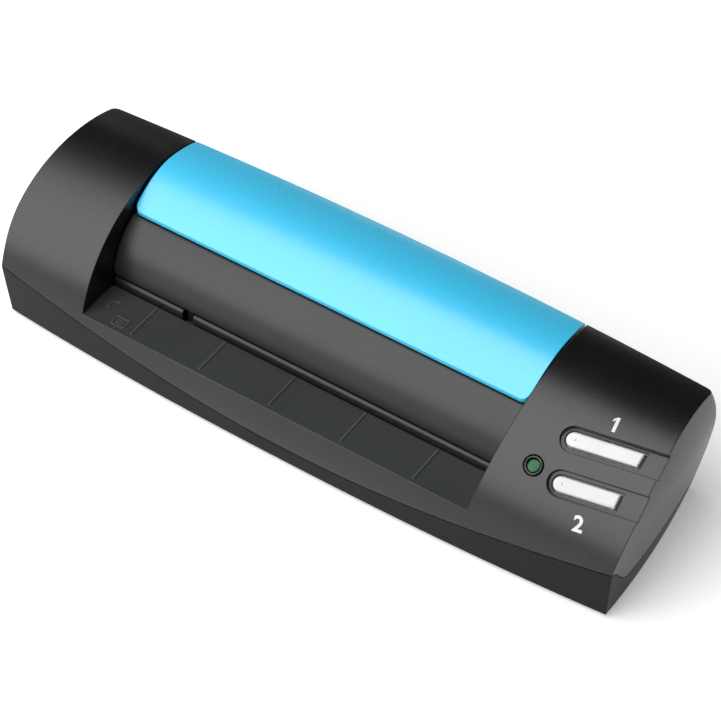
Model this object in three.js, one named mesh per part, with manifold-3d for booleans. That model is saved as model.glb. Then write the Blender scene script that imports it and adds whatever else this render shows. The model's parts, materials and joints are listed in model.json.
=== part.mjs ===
// A desktop business card scanner: a barrel-shaped black case with a feed recess across its
// front, a blue cover over the recess, and two push buttons in channels on its right shoulder.
// Units are millimetres. +X is to the right, -Y is the front and +Z is up.
// The origin is in the middle of the footprint, on the surface that the feet stand on.

import * as THREE from 'three';
import { mergeVertices } from 'three/addons/utils/BufferGeometryUtils.js';
import Module from 'manifold-3d';

const wasm = await Module();
wasm.setup();

// Overall form
const width = 155;
const depth = 47.2;
const topRadiusShare = 0.661017;
const topCentreHeight = 2.2;
const footLift = 1;
const wall = 2;
const overrun = 8;
const clearance = 0.3;
const partingGap = 0.2;

// Plan outline: bowed front and back, bulged ends, rounded rear corners
const frontBow = 2.9;
const backBow = 3.5;
const frontBowPower = 2.3;
const endRadius = 200;
const widestSetback = 6;
const rearCornerRadius = 1.5;
const frontSteps = 16;
const endSteps = 7;
const cornerSteps = 3;

// How the walls draw in above and below their widest height
const widestHeight = 23;
const taperPower = 1.3;
const lowerTaperXShare = 0.0167;
const rearTaperXShare = 0.034;
const upperTaperXShare = 0.016;
const lowerTaperYShare = 0.049;
const upperTaperYShare = 0.133;
const outerRingShares = [0, 0.1, 0.24, 0.44, 0.68, 0.85, 1.03];
const innerRingShares = [0, 0.2, 0.6, 1.03];
const outerArcSegments = 44;
const innerArcSegments = 24;
const curveSegments = 12;

// Parting line between the base and the case
const creaseLow = 5.3;
const seamHeight = 6.8;
const seamSweep = 9;
const seamHighShare = 0.5;
const seamLowShare = 0.33;
const seamSteps = 18;

// Feed recess
const leftShoulder = 23.3;
const rightShoulder = 34.2;
const leftDraftShare = 0.02;
const rightDraftShare = 0.16;
const rightToeShare = 0.045;
const recessWall = 1.8;
const trayHeight = 12.8;
const trayThickness = 1.5;
const trayDepth = 12.45;
const sideWallFoot = 12.6;
const ribCount = 5;
const ribFirst = 11.8;
const ribLast = 14.1;
const ribWidth = 0.7;
const ribHeight = 0.3;
const ribFrontGap = 1;
const ribBackGap = 0.3;
const rearWallDrop = 9.4;

// Card path
const pathFloor = 14.9;
const pathHeight = 1.2;
const exitSlotHeight = 3.2;
const exitSlotMargin = 3;
const exitSlotDrop = 0.6;

// Lower card guide with its entry ridge
const guideThickness = 1.6;
const guideLip = 1.4;
const ridgeRise = 1;
const windowMargin = 0.6;
const notchWidth = 2.8;
const notchDepth = 6.4;
const backingSetback = 2.8;
const backingDepth = 5.8;
const backingThickness = 0.5;
const backingPocket = 0.85;
const backingInset = 4;

// Upper card guide with its slanted front
const fasciaSetback = 0.35;
const fasciaRun = 7.9;
const fasciaTopDrop = 6.5;
const fasciaThickness = 1.4;
const fasciaLowBulgeShare = 0.08;
const fasciaMidShare = 0.42;
const fasciaMidRiseShare = 0.78;
const entryFlange = 3.4;
const deckRise = 0.2;
const deckInset = 4.6;
const cheekThickness = 1.4;
const cheekRightInset = 3.2;
const cheekSetback = 3.4;
const cheekInset = 7.6;
const cheekLift = 0.5;
const cheekSlope = 5.8;

// Blue cover
const coverWall = 1.8;
const coverGap = 0.5;
const coverBlendInset = 12.9;
const coverLipSetback = 0.3;
const coverLipFall = 5;
const coverLipDrop = 0.9;
const coverSkirtDrop = 9;
const coverCorner = 1.6;
const coverShoulder = 5;
const coverShoulderRise = 0.35;
const coverBrow = 4;
const coverBrowRise = 3.1;
const coverSteps = 14;

// Rollers
const axleHeight = 10;
const feedAxleSetback = 6.95;
const axleRadius = 2;
const axleStub = 0.9;
const tyreRadius = 5.1;
const tyreWidthShare = 0.12308;
const tyreSpreadShare = 0.18462;
const tyreSegments = 24;
const pinchRadius = 3;
const pinchGap = 0.3;
const pinchWidth = 10;
const pinchAxleRadius = 1;
const pinchAxleInset = 0.9;
const bushRadius = 3.2;
const bushProud = 0.2;

// Gears: all of one module
const gearModule = 0.6;
const gearAddendumShare = 0.8;
const gearDedendumShare = 1.15;
const toothTipShare = 0.2;
const toothRootShare = 0.58;
const gearWidth = 2;
const pinionTeeth = 9;
const compoundTeeth = 25;
const compoundSmallTeeth = 10;
const rollerTeeth = 17;
const linkTeeth = 9;
const compoundAngle = 62;
const motorAngle = -26;
const gearPinRadius = 1;
const pinStub = 0.4;

// Side plates, motor and its bracket
const plateThickness = 1.6;
const leftPlateGap = 2.8;
const rightPlateGap = 4.7;
const plateStand = 0.3;
const plateMargin = 3.4;
const plateShoulder = 6.8;
const plateDip = 6.5;
const bracketThickness = 1.2;
const bracketMargin = 2.6;
const motorRadius = 6;
const motorLength = 7.5;
const motorBossRadius = 2.9;
const motorBossLength = 1.2;
const motorShaftRadius = 0.75;
const motorShaftDepth = 5;
const motorChamfer = 0.6;
const motorEarReach = 7.3;
const motorEarRadius = 1.5;
const motorEarThickness = 0.8;

// Image sensor module
const sensorHalfDepth = 4.2;
const sensorGap = 0.4;
const sensorHeight = 6;
const sensorEndGap = 0.4;
const sensorChamfer = 1.2;
const glassThickness = 0.7;
const glassInset = 1.6;
const glassEndInset = 3;
const glassSink = 0.4;
const sensorBoardThickness = 0.8;
const sensorBoardEndInset = 9;
const sensorBoardInset = 0.9;
const springInset = 4.5;
const springRadius = 1.6;
const springWire = 0.5;
const springTurns = 3;
const springStepsPerTurn = 8;
const springSides = 5;

// Card flag and its light barrier
const flagPlaceShare = 0.20205;
const flagPivotSetback = 2.35;
const flagPivotHeight = 9.5;
const flagHubRadius = 1.9;
const flagPinRadius = 0.8;
const flagWidth = 1.6;
const flagHubWidth = 3;
const flagArmThickness = 1.2;
const flagArmBack = 0.5;
const flagArmLean = 1;
const flagTip = 15.7;
const flagBladeWidth = 1;
const flagBladeTip = 6.2;
const flagEarThickness = 1.2;
const flagEarRadius = 1.9;
const barrierLength = 5.2;
const barrierDepth = 4;
const barrierHeight = 2.5;
const barrierStand = 0.1;
const barrierSlot = 2.4;
const barrierFloor = 0.9;
const flagBoardThickness = 0.8;
const flagBoardWidth = 14;
const flagBoardDepth = 9;
const flagBoardStand = 0.6;

// Key field on the right shoulder, in the tilted frame of the key board
const keyFieldInset = 12.5;
const keyFieldFront = 13.6;
const keySlant = 8.5;
const keyHalfWidth = 1.55;
const keyGap = 0.4;
const channelHalfWidth = 2.75;
const channelDepth = 0.8;
const keyDrop = 0.1;
const keyBody = 3.4;
const keyFlange = 0.8;
const keyFlangeThickness = 0.8;
const keyStemRadius = 1.1;
const keyTravel = 0.8;
const upperKeyTip = -8.6;
const upperKeyEnd = 7.2;
const upperKeyRise = 4.35;
const lowerKeyTip = -6.9;
const lowerKeyEnd = 6.9;
const lowerKeyRise = -4.8;
const keySegments = 6;
const boardDepth = 9.6;
const boardThickness = 1;
const keyBoardLeft = -14.5;
const keyBoardRight = 8;
const keyBoardHalf = 8.6;
const switchSize = 4.4;
const switchHeight = 2.6;
const plungerRadius = 0.9;
const plungerBore = 1.2;
const plungerRise = 0.9;
const plungerBoreDepth = 1.8;
const lampPlace = -11.9;
const lampRise = -4.7;
const lampRadius = 1.35;
const lampRingRadius = 1.9;
const lampRingWall = 0.35;
const lampRingLength = 2.6;
const lampPipe = 4.6;
const lampBodyHeight = 2.4;
const lampFlange = 0.35;
const lampPipeFlange = 0.7;
const boardPostRadius = 1.6;
const boardPostInset = 2.2;
const boardStandSetback = 4.4;
const boardPostRise = 0.7;

// Main board and the cable inlet at the back
const mainBoardStart = 3;
const mainBoardInset = 9.5;
const mainBoardFrontInset = 14.2;
const mainBoardBackInset = 7.6;
const mainBoardHeight = 6.6;
const mainBoardThickness = 1.2;
const inletInset = 14.5;
const inletWidth = 7.8;
const inletHeight = 4;
const inletLength = 8;
const inletWall = 0.5;
const inletBackWall = 1;
const inletChamfer = 1;
const inletTongue = 0.8;
const inletTongueWidth = 4;
const inletRecess = 0.6;
const inletGap = 0.4;
const plugSocketWidth = 9;
const plugSocketDepth = 3.4;
const plugSocketHeight = 3.2;
const plugSocketWall = 0.6;
const socketInset = 4.4;
const socketSetback = 1.7;

// Feet, screw posts and stands
const footRadius = 4;
const footHeight = 1.3;
const footPocket = 0.6;
const footInset = 19.5;
const footFrontInset = 9.6;
const footBackInset = 10.6;
const footSegments = 20;
const postRadius = 2.3;
const postHole = 1.1;
const leftPostInset = 8.5;
const leftPostFront = 11.3;
const rightPostInset = 6;
const rightPostBack = 17.1;
const rearPostInset = 8.2;
const rearPostRightInset = 7.3;
const rearPostBack = 5;
const standRadius = 1.8;
const standGap = 0.4;
const roundSegments = 18;
const smallSegments = 12;

// Worked-out places
const frontMid = -depth / 2;
const backMid = depth / 2;
const topRadius = depth * topRadiusShare;
const height = topCentreHeight + topRadius;
const baseFloor = footLift + wall;
const arcCentreY = frontMid + Math.sqrt(topRadius ** 2 - (creaseLow - topCentreHeight) ** 2);
const recessLeft = leftShoulder - width / 2;
const recessRight = width / 2 - rightShoulder;
const recessMiddle = (recessLeft + recessRight) / 2;
const recessWidth = recessRight - recessLeft;
const trayBack = frontMid + trayDepth;
const ribPitch = (recessWidth - ribFirst - ribLast) / (ribCount - 1);
const rearWallTop = height - rearWallDrop;
const pathCeiling = pathFloor + pathHeight;

// Rollers and their gears
const feedAxleY = trayBack + feedAxleSetback;
const tyreWidth = recessWidth * tyreWidthShare;
const tyreSpread = recessWidth * tyreSpreadShare;
const rollerPitchRadius = (rollerTeeth * gearModule) / 2;
const linkPitchRadius = (linkTeeth * gearModule) / 2;
const exitAxleY = feedAxleY + 2 * (rollerPitchRadius + linkPitchRadius);
const linkY = (feedAxleY + exitAxleY) / 2;
const pinchHeight = axleHeight + tyreRadius + pinchGap + pinchRadius;
const leftPlateX = recessLeft - leftPlateGap;
const rightPlateX = recessRight + rightPlateGap;
const leftPlateOuter = leftPlateX - plateThickness;
const nearGearX = leftPlateOuter - clearance;
const farGearX = nearGearX - gearWidth - clearance;
const bracketX = farGearX - gearWidth - clearance;
const motorX = bracketX - bracketThickness - clearance;
const compoundPlace = polarPlace(
  feedAxleY, axleHeight, compoundAngle, pitch(rollerTeeth, compoundSmallTeeth),
);
const motorPlace = polarPlace(
  compoundPlace[0], compoundPlace[1], motorAngle, pitch(compoundTeeth, pinionTeeth),
);

// Sensor, guides and card flag
const sensorCentreY = linkY;
const sensorFoot = pathCeiling + sensorGap;
const backingFront = sensorCentreY - backingSetback;
const backingBack = backingFront + backingDepth;
const guideFront = trayBack + clearance;
const guideLeft = recessLeft + clearance;
const guideRight = recessRight - clearance;
const fasciaFront = trayBack + fasciaSetback;
const fasciaTop = fasciaFront + fasciaRun;
const fasciaTopHeight = height - fasciaTopDrop;
const deckHeight = fasciaTopHeight + deckRise;
const deckBack = backMid - deckInset;
const cheekLeft = guideLeft + cheekThickness;
const cheekRight = recessRight - cheekRightInset;
const cheekFront = fasciaFront + cheekSetback;
const cheekBack = backMid - cheekInset;
const cheekFoot = pathCeiling + cheekLift;
const flagX = recessLeft + recessWidth * flagPlaceShare;
const flagPivotY = trayBack + flagPivotSetback;

// Cover
const coverLip = fasciaTop + coverLipSetback;
const coverLipHeight = height - coverLipFall;
const coverBlend = backMid - coverBlendInset;
const coverSkirt = height - coverSkirtDrop;

// Key field
const keyFieldX = width / 2 - keyFieldInset;
const keyFieldY = frontMid + keyFieldFront;
const keyFieldHeight = arcHeight(keyFieldY, 0);
const keyTilt = Math.asin((arcCentreY - keyFieldY) / topRadius);
const upperKey = { name: 'button_1', tip: upperKeyTip, end: upperKeyEnd, rise: upperKeyRise };
const lowerKey = { name: 'button_2', tip: lowerKeyTip, end: lowerKeyEnd, rise: lowerKeyRise };

// Boards, inlet, feet and screw posts
const mainBoardLeft = rightPlateX + mainBoardStart;
const mainBoardRight = width / 2 - mainBoardInset;
const mainBoardFront = frontMid + mainBoardFrontInset;
const mainBoardBack = backMid - mainBoardBackInset;
const inletX = width / 2 - inletInset;
const footX = width / 2 - footInset;
const footFrontY = frontMid + footFrontInset;
const footBackY = backMid - footBackInset;
const leftPost = [leftPostInset - width / 2, frontMid + leftPostFront];
const rightPost = [width / 2 - rightPostInset, backMid - rightPostBack];
const rearPostY = backMid - rearPostBack;
const rearPostLeft = recessLeft + rearPostInset;
const rearPostRight = recessRight - rearPostRightInset;

// Materials
const black = { color: 0x1c1e20, roughness: 0.45, metalness: 0 };
const darkGrey = { color: 0x2a2d30, roughness: 0.5, metalness: 0 };
const blue = { color: 0x2fc2f2, roughness: 0.3, metalness: 0 };
const silver = { color: 0xe9ecee, roughness: 0.3, metalness: 0.1 };
const rubber = { color: 0x222222, roughness: 0.85, metalness: 0 };
const steel = { color: 0xb9bcc0, roughness: 0.3, metalness: 1 };
const nylon = { color: 0xe8e4d8, roughness: 0.55, metalness: 0 };
const boardGreen = { color: 0x1f5c38, roughness: 0.5, metalness: 0 };
const glassLook = { color: 0xcfe2e6, roughness: 0.08, metalness: 0 };
const lampGreen = { color: 0x4a9a5a, roughness: 0.25, metalness: 0 };
const white = { color: 0xf2f2ee, roughness: 0.5, metalness: 0 };

const scanner = new THREE.Group();

// Helpers that turn three.js geometry into solids and back

function toSolid(geometry) {
  const bare = geometry.clone();
  bare.deleteAttribute('normal');
  bare.deleteAttribute('uv');
  const merged = mergeVertices(bare, 1e-4);
  return new wasm.Manifold(new wasm.Mesh({
    numProp: 3,
    vertProperties: new Float32Array(merged.attributes.position.array),
    triVerts: new Uint32Array(merged.index.array),
  }));
}

function addPiece(name, solid, look) {
  const mesh = solid.getMesh();
  const geometry = new THREE.BufferGeometry();
  geometry.setAttribute('position', new THREE.BufferAttribute(new Float32Array(mesh.vertProperties), 3));
  geometry.setIndex(new THREE.BufferAttribute(new Uint32Array(mesh.triVerts), 1));
  geometry.computeVertexNormals();
  const material = new THREE.MeshStandardMaterial({ ...look, flatShading: true });
  const piece = new THREE.Mesh(geometry, material);
  piece.name = name;
  scanner.add(piece);
}

function moved(geometry, matrix) {
  return toSolid(geometry.applyMatrix4(matrix));
}

function extrude(shape, length, segments = curveSegments) {
  return new THREE.ExtrudeGeometry(shape, { depth: length, bevelEnabled: false, curveSegments: segments });
}

// An outline in Y and Z, drawn out along X
function prismX(shape, fromX, toX, segments) {
  const matrix = new THREE.Matrix4().makeBasis(axis(0, 1, 0), axis(0, 0, 1), axis(1, 0, 0));
  matrix.setPosition(fromX, 0, 0);
  return moved(extrude(shape, toX - fromX, segments), matrix);
}

// An outline in X and Z, drawn out along Y
function prismY(shape, fromY, toY) {
  const matrix = new THREE.Matrix4().makeBasis(axis(1, 0, 0), axis(0, 0, 1), axis(0, -1, 0));
  matrix.setPosition(0, toY, 0);
  return moved(extrude(shape, toY - fromY), matrix);
}

// An outline in X and Y, drawn out along Z
function prismZ(shape, fromZ, toZ) {
  return moved(extrude(shape, toZ - fromZ), new THREE.Matrix4().makeTranslation(0, 0, fromZ));
}

function axis(x, y, z) {
  return new THREE.Vector3(x, y, z);
}

function block(x0, x1, y0, y1, z0, z1) {
  const geometry = new THREE.BoxGeometry(x1 - x0, y1 - y0, z1 - z0);
  return toSolid(geometry.translate((x0 + x1) / 2, (y0 + y1) / 2, (z0 + z1) / 2));
}

function rodX(radius, x0, x1, y, z, segments = roundSegments) {
  const geometry = new THREE.CylinderGeometry(radius, radius, Math.abs(x1 - x0), segments);
  return toSolid(geometry.rotateZ(Math.PI / 2).translate((x0 + x1) / 2, y, z));
}

function rodZ(radius, z0, z1, x, y, segments = roundSegments) {
  const geometry = new THREE.CylinderGeometry(radius, radius, z1 - z0, segments);
  return toSolid(geometry.rotateX(Math.PI / 2).translate(x, y, (z0 + z1) / 2));
}

function ringX(outer, inner, x0, x1, y, z, segments = roundSegments) {
  return rodX(outer, x0, x1, y, z, segments).subtract(rodX(
    inner, x0 - overrun, x1 + overrun, y, z, segments,
  ));
}

function polygon(points) {
  return new THREE.Shape(points.map(([a, b]) => new THREE.Vector2(a, b)));
}

// Rings of the same number of points, each ring flat, joined into one closed body
function loft(rings) {
  const count = rings[0].length;
  const positions = rings.flat(2);
  const faces = [];
  for (let level = 0; level + 1 < rings.length; level += 1) {
    for (let i = 0; i < count; i += 1) {
      const a = level * count + i;
      const b = level * count + (i + 1) % count;
      faces.push(a, b, b + count, a, b + count, a + count);
    }
  }
  const contour = rings[0].map(([x, y]) => new THREE.Vector2(x, y));
  const last = (rings.length - 1) * count;
  for (const [a, b, c] of THREE.ShapeUtils.triangulateShape(contour, [])) {
    faces.push(a, c, b, last + a, last + b, last + c);
  }
  const geometry = new THREE.BufferGeometry();
  geometry.setAttribute('position', new THREE.Float32BufferAttribute(positions, 3));
  geometry.setIndex(faces);
  return toSolid(geometry);
}

function polarPlace(y, z, degrees, radius) {
  const angle = THREE.MathUtils.degToRad(degrees);
  return [y + radius * Math.cos(angle), z + radius * Math.sin(angle)];
}

function pitch(teethA, teethB) {
  return ((teethA + teethB) * gearModule) / 2;
}

// The barrel form of the case

function arcHeight(y, inset) {
  return topCentreHeight + Math.sqrt((topRadius - inset) ** 2 - (arcCentreY - y) ** 2);
}

function taperX(y, z) {
  const lower = lowerTaperXShare + rearTaperXShare * ((y - frontMid) / depth);
  return 1 - lower * below(z) - upperTaperXShare * above(z);
}

function taperY(z) {
  return 1 - lowerTaperYShare * below(z) - upperTaperYShare * above(z);
}

function below(z) {
  return Math.max(0, (widestHeight - z) / (widestHeight - footLift)) ** taperPower;
}

function above(z) {
  return Math.max(0, (z - widestHeight) / (height - widestHeight)) ** 2;
}

function planSizes(inset) {
  const frontY = frontMid / taperY(creaseLow) + inset;
  const half = width / 2 - inset;
  const endX = (y) => half - (y + widestSetback) ** 2 / (2 * endRadius);
  const frontCorner = frontY + frontBow;
  const backCorner = backMid - inset - backBow;
  return { frontY, frontCorner, backCorner, endX, frontX: endX(frontCorner), backX: endX(backCorner) };
}

function rightHalfOfRear(plan) {
  const points = [];
  const endTop = plan.backCorner - rearCornerRadius;
  for (let i = 1; i <= endSteps; i += 1) {
    const y = plan.frontCorner + (endTop - plan.frontCorner) * (i / endSteps);
    points.push([plan.endX(y), y]);
  }
  const turn = new THREE.QuadraticBezierCurve(
    new THREE.Vector2(plan.endX(endTop), endTop),
    new THREE.Vector2(plan.backX, plan.backCorner),
    new THREE.Vector2(plan.backX - rearCornerRadius, rearY(plan, plan.backX - rearCornerRadius)),
  );
  for (const point of turn.getPoints(cornerSteps).slice(1)) {
    points.push([point.x, point.y]);
  }
  return points;
}

function frontWallY(plan, x) {
  return plan.frontY + frontBow * Math.abs(x / plan.frontX) ** frontBowPower;
}

function rearY(plan, x) {
  return plan.backCorner + backBow * (1 - (x / plan.backX) ** 2);
}

function planOutline(inset) {
  const plan = planSizes(inset);
  const front = [];
  for (let i = 0; i <= frontSteps; i += 1) {
    const x = plan.frontX * (2 * (i / frontSteps) - 1);
    front.push([x, frontWallY(plan, x)]);
  }
  const right = rightHalfOfRear(plan);
  const rear = [];
  const reach = plan.backX - rearCornerRadius;
  for (let i = 1; i < frontSteps; i += 1) {
    const x = reach * (1 - 2 * (i / frontSteps));
    rear.push([x, rearY(plan, x)]);
  }
  const left = right.map(([x, y]) => [-x, y]).reverse();
  return [...front, ...right, ...rear, ...left];
}

function body(inset, floor) {
  const outline = planOutline(inset);
  const shares = inset > 0 ? innerRingShares : outerRingShares;
  const segments = inset > 0 ? innerArcSegments : outerArcSegments;
  const rings = shares.map((share) => {
    const z = footLift + (height - footLift) * share;
    return outline.map(([x, y]) => [x * taperX(y, z), y * taperY(z), z]);
  });
  const disc = new THREE.Shape().absarc(arcCentreY, topCentreHeight, topRadius - inset, 0, 2 * Math.PI);
  const top = prismX(disc, -width, width, segments);
  const trimmed = loft(rings).intersect(top);
  return trimmed.intersect(block(-width, width, -depth, depth, floor, 2 * height));
}

// Where the bowed front wall meets the arc of the top, for a place along X
function creaseAt(x) {
  const plan = planSizes(0);
  let low = topCentreHeight;
  let high = widestHeight;
  for (let i = 0; i < seamSteps; i += 1) {
    const z = (low + high) / 2;
    const wallY = frontWallY(plan, x) * taperY(z);
    const arcY = arcCentreY - Math.sqrt(topRadius ** 2 - (z - topCentreHeight) ** 2);
    if (arcY < wallY) {
      low = z;
    } else {
      high = z;
    }
  }
  return low;
}

// Everything below the parting line, raised by a gap for the case above it
function belowParting(gap) {
  const plan = planSizes(0);
  const smile = [];
  for (let i = 0; i <= seamSteps; i += 1) {
    const x = plan.frontX * (2 * (i / seamSteps) - 1);
    smile.push([x, creaseAt(x) + gap]);
  }
  const corner = creaseAt(plan.frontX) + gap;
  const reach = width / 2 + overrun;
  const front = polygon([
    [-reach, -overrun], [reach, -overrun], [reach, corner], ...smile.reverse(), [-reach, corner],
  ]);
  const level = seamHeight + gap;
  const start = plan.frontCorner;
  const side = new THREE.Shape();
  side.moveTo(-depth, -overrun);
  side.lineTo(depth, -overrun);
  side.lineTo(depth, level);
  side.lineTo(start + seamSweep, level);
  side.bezierCurveTo(
    start + seamSweep * seamHighShare, level, start + seamSweep * seamLowShare, corner, start,
    corner,
  );
  side.lineTo(-depth, corner);
  return prismY(front, -depth, depth).intersect(prismX(side, -reach, reach));
}

function leftWallAt(z) {
  return recessLeft - leftDraftShare * (z - trayHeight);
}

function rightWallAt(y, z) {
  return recessRight + rightDraftShare * (z - trayHeight) - rightToeShare * (y - frontMid);
}

// The tapering well of the recess, drawn in by a gap on both sides
function well(gap, fromY, toY, fromZ, toZ) {
  const ring = (z) => {
    const left = leftWallAt(z) + gap;
    return [
      [left, fromY, z], [rightWallAt(fromY, z) - gap, fromY, z],
      [rightWallAt(toY, z) - gap, toY, z], [left, toY, z],
    ];
  };
  return loft([ring(fromZ), ring(toZ)]);
}

function ribs() {
  const plan = planSizes(0);
  const front = arcCentreY - Math.sqrt(topRadius ** 2 - (trayHeight - topCentreHeight) ** 2);
  const solids = [];
  for (let i = 0; i < ribCount; i += 1) {
    const x = recessLeft + ribFirst + ribPitch * i;
    const start = Math.max(front, plan.frontY) + ribFrontGap;
    solids.push(block(
      x, x + ribWidth, start, trayBack - ribBackGap, trayHeight - trayThickness,
      trayHeight + ribHeight,
    ));
  }
  return solids;
}

function screwPost(x, y) {
  const top = arcHeight(y, wall) + wall / 2;
  return rodZ(postRadius, seamHeight, top, x, y, smallSegments);
}

function rearPost(x) {
  return rodZ(postRadius, seamHeight, sideWallFoot, x, rearPostY, smallSegments);
}

function topCase() {
  const outer = body(0, footLift);
  const inner = body(wall, -overrun);
  let solid = outer.subtract(inner);
  solid = solid.add(well(-recessWall, -depth, depth, sideWallFoot, 2 * height).intersect(outer));
  solid = solid.add(well(
    -recessWall, -depth, trayBack, trayHeight - trayThickness, 2 * height,
  ).intersect(outer));
  for (const [x, y] of [leftPost, rightPost]) {
    solid = solid.add(screwPost(x, y).intersect(outer));
  }
  for (const x of [rearPostLeft, rearPostRight]) {
    solid = solid.add(rearPost(x).intersect(outer));
  }
  const openAbove = well(0, -depth, depth, rearWallTop, 2 * height);
  const mouth = well(0, -depth, 0, trayHeight, 2 * height);
  const bay = well(0, trayBack, depth, -overrun, 2 * height).intersect(inner);
  solid = solid.subtract(openAbove).subtract(mouth).subtract(bay);
  for (const rib of ribs()) {
    solid = solid.add(rib.intersect(outer));
  }
  for (const x of [rearPostLeft, rearPostRight]) {
    solid = solid.add(rearPost(x).intersect(outer));
  }
  solid = solid.subtract(exitSlot()).subtract(inletHole());
  for (const cutter of keyCutters()) {
    solid = solid.subtract(cutter);
  }
  for (const post of boardPosts()) {
    solid = solid.add(post.intersect(outer));
  }
  solid = solid.subtract(screwHoles());
  return solid.subtract(belowParting(partingGap));
}

function exitSlot() {
  const left = recessLeft + exitSlotMargin;
  const right = recessRight - exitSlotMargin;
  const foot = pathFloor - exitSlotDrop;
  return block(left, right, 0, depth, foot, foot + exitSlotHeight);
}

function inletHole() {
  const foot = mainBoardHeight + mainBoardThickness + clearance - inletGap;
  const half = inletWidth / 2 + inletGap;
  return block(inletX - half, inletX + half, backMid / 2, depth, foot, foot + inletHeight + 2 * inletGap);
}

function screwHoles() {
  const deep = seamHeight + seamSweep / 2;
  let holes = rodZ(postHole, -overrun, deep, leftPost[0], leftPost[1], smallSegments);
  holes = holes.add(rodZ(postHole, -overrun, deep, rightPost[0], rightPost[1], smallSegments));
  for (const x of [rearPostLeft, rearPostRight]) {
    holes = holes.add(rodZ(postHole, -overrun, sideWallFoot - wall, x, rearPostY, smallSegments));
  }
  return holes;
}

function footPlaces() {
  const places = [];
  for (const y of [footFrontY, footBackY]) {
    for (const x of [-footX, footX]) {
      places.push([x, y]);
    }
  }
  return places;
}

function baseShell() {
  let solid = body(0, footLift).intersect(belowParting(0));
  solid = solid.subtract(body(wall, baseFloor));
  for (const [x, y] of footPlaces()) {
    solid = solid.subtract(rodZ(footRadius + clearance, -overrun, footLift + footPocket, x, y, footSegments));
  }
  for (const [x, y] of [...screwPlaces()]) {
    solid = solid.add(rodZ(postRadius, baseFloor - wall / 2, seamHeight - standGap, x, y, smallSegments));
  }
  for (const [x, y, top] of boardStands()) {
    solid = solid.add(rodZ(standRadius, baseFloor - wall / 2, top, x, y, smallSegments));
  }
  return solid.subtract(screwHoles()).subtract(inletHole());
}

function screwPlaces() {
  return [leftPost, rightPost, [rearPostLeft, rearPostY], [rearPostRight, rearPostY]];
}

// Stands on the base floor: x, y and the height of the top
function boardStands() {
  const inset = boardPostInset;
  const main = mainBoardHeight - clearance;
  const flagTop = baseFloor + flagBoardStand;
  return [
    [mainBoardLeft + inset, mainBoardFront + inset, main],
    [mainBoardRight - inset, mainBoardFront + boardStandSetback, main],
    [mainBoardLeft + inset, mainBoardBack - inset, main],
    [mainBoardRight - inset, mainBoardBack - inset, main],
    [flagX - flagBoardWidth / 2 + inset, flagPivotY, flagTop],
    [flagX + flagBoardWidth / 2 - inset, flagPivotY, flagTop],
  ];
}

// Card guides

function tyreCentres() {
  return [recessMiddle - tyreSpread, recessMiddle + tyreSpread];
}

function windowHalf() {
  const drop = pathFloor - guideThickness - axleHeight;
  return Math.sqrt(tyreRadius ** 2 - drop ** 2) + windowMargin;
}

function cardGuide() {
  const lipFoot = pathFloor - guideThickness - guideLip;
  const shape = new THREE.Shape();
  const crestY = guideFront + ridgeRise;
  shape.moveTo(guideFront, lipFoot);
  shape.lineTo(crestY, lipFoot);
  shape.lineTo(crestY + guideThickness / 2, pathFloor - guideThickness);
  shape.lineTo(deckBack, pathFloor - guideThickness);
  shape.lineTo(deckBack, pathFloor);
  shape.lineTo(crestY, pathFloor);
  shape.quadraticCurveTo(guideFront, pathFloor, guideFront, pathFloor - ridgeRise);
  const bay = well(clearance, -depth, depth, -overrun, height).intersect(body(wall + clearance, 0));
  let solid = prismX(shape, guideLeft - width, guideRight + width).intersect(bay);
  for (const x of tyreCentres()) {
    for (const y of [feedAxleY, exitAxleY]) {
      const half = tyreWidth / 2 + windowMargin;
      const reach = windowHalf();
      solid = solid.subtract(block(x - half, x + half, y - reach, y + reach, 0, height));
    }
  }
  const notchHalf = notchWidth / 2;
  solid = solid.subtract(block(
    flagX - notchHalf, flagX + notchHalf, -depth, guideFront + notchDepth, 0, height,
  ));
  const pocket = backingThickness + clearance + pathFloor - backingTop();
  solid = solid.subtract(block(
    guideLeft + backingInset - clearance, guideRight - backingInset + clearance,
    backingFront - clearance, backingBack + clearance, pathFloor - pocket, height,
  ));
  return solid.add(flagEars());
}

function backingTop() {
  return pathFloor - (backingPocket - backingThickness - clearance);
}

function backingStrip() {
  const top = backingTop();
  return block(
    guideLeft + backingInset, guideRight - backingInset, backingFront, backingBack,
    top - backingThickness, top,
  );
}

// Two ears under the guide that hold the pin of the card flag
function flagEars() {
  const top = pathFloor - guideThickness / 2;
  const solids = [];
  for (const side of [-1, 1]) {
    const inner = flagX + side * (flagHubWidth / 2 + clearance);
    const outer = inner + side * flagEarThickness;
    const left = Math.min(inner, outer);
    const right = Math.max(inner, outer);
    const round = rodX(flagEarRadius, left, right, flagPivotY, flagPivotHeight, smallSegments);
    const web = block(
      left, right, flagPivotY - flagEarRadius, flagPivotY + flagEarRadius, flagPivotHeight, top,
    );
    solids.push(round.add(web));
  }
  const bore = rodX(
    flagPinRadius + clearance, flagX - width, flagX + width, flagPivotY, flagPivotHeight,
    smallSegments,
  );
  return solids[0].add(solids[1]).subtract(bore);
}

// The slanted front between the slot and the cover, as an offset outline
function fasciaCurve(inset) {
  const rise = fasciaTopHeight - pathCeiling;
  const run = fasciaTop - fasciaFront;
  const low = new THREE.Vector2(fasciaFront + inset, pathCeiling);
  const mid = new THREE.Vector2(
    fasciaFront + run * fasciaMidShare * fasciaMidShare + inset, pathCeiling + rise * fasciaMidShare,
  );
  const bend = new THREE.Vector2(
    fasciaFront + run * fasciaMidShare + inset, pathCeiling + rise * fasciaMidRiseShare,
  );
  const high = new THREE.Vector2(
    fasciaTop + inset * fasciaMidShare, fasciaTopHeight - inset * fasciaMidRiseShare,
  );
  mid.x -= run * fasciaLowBulgeShare;
  return new THREE.CubicBezierCurve(low, mid, bend, high).getPoints(coverSteps);
}

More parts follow.
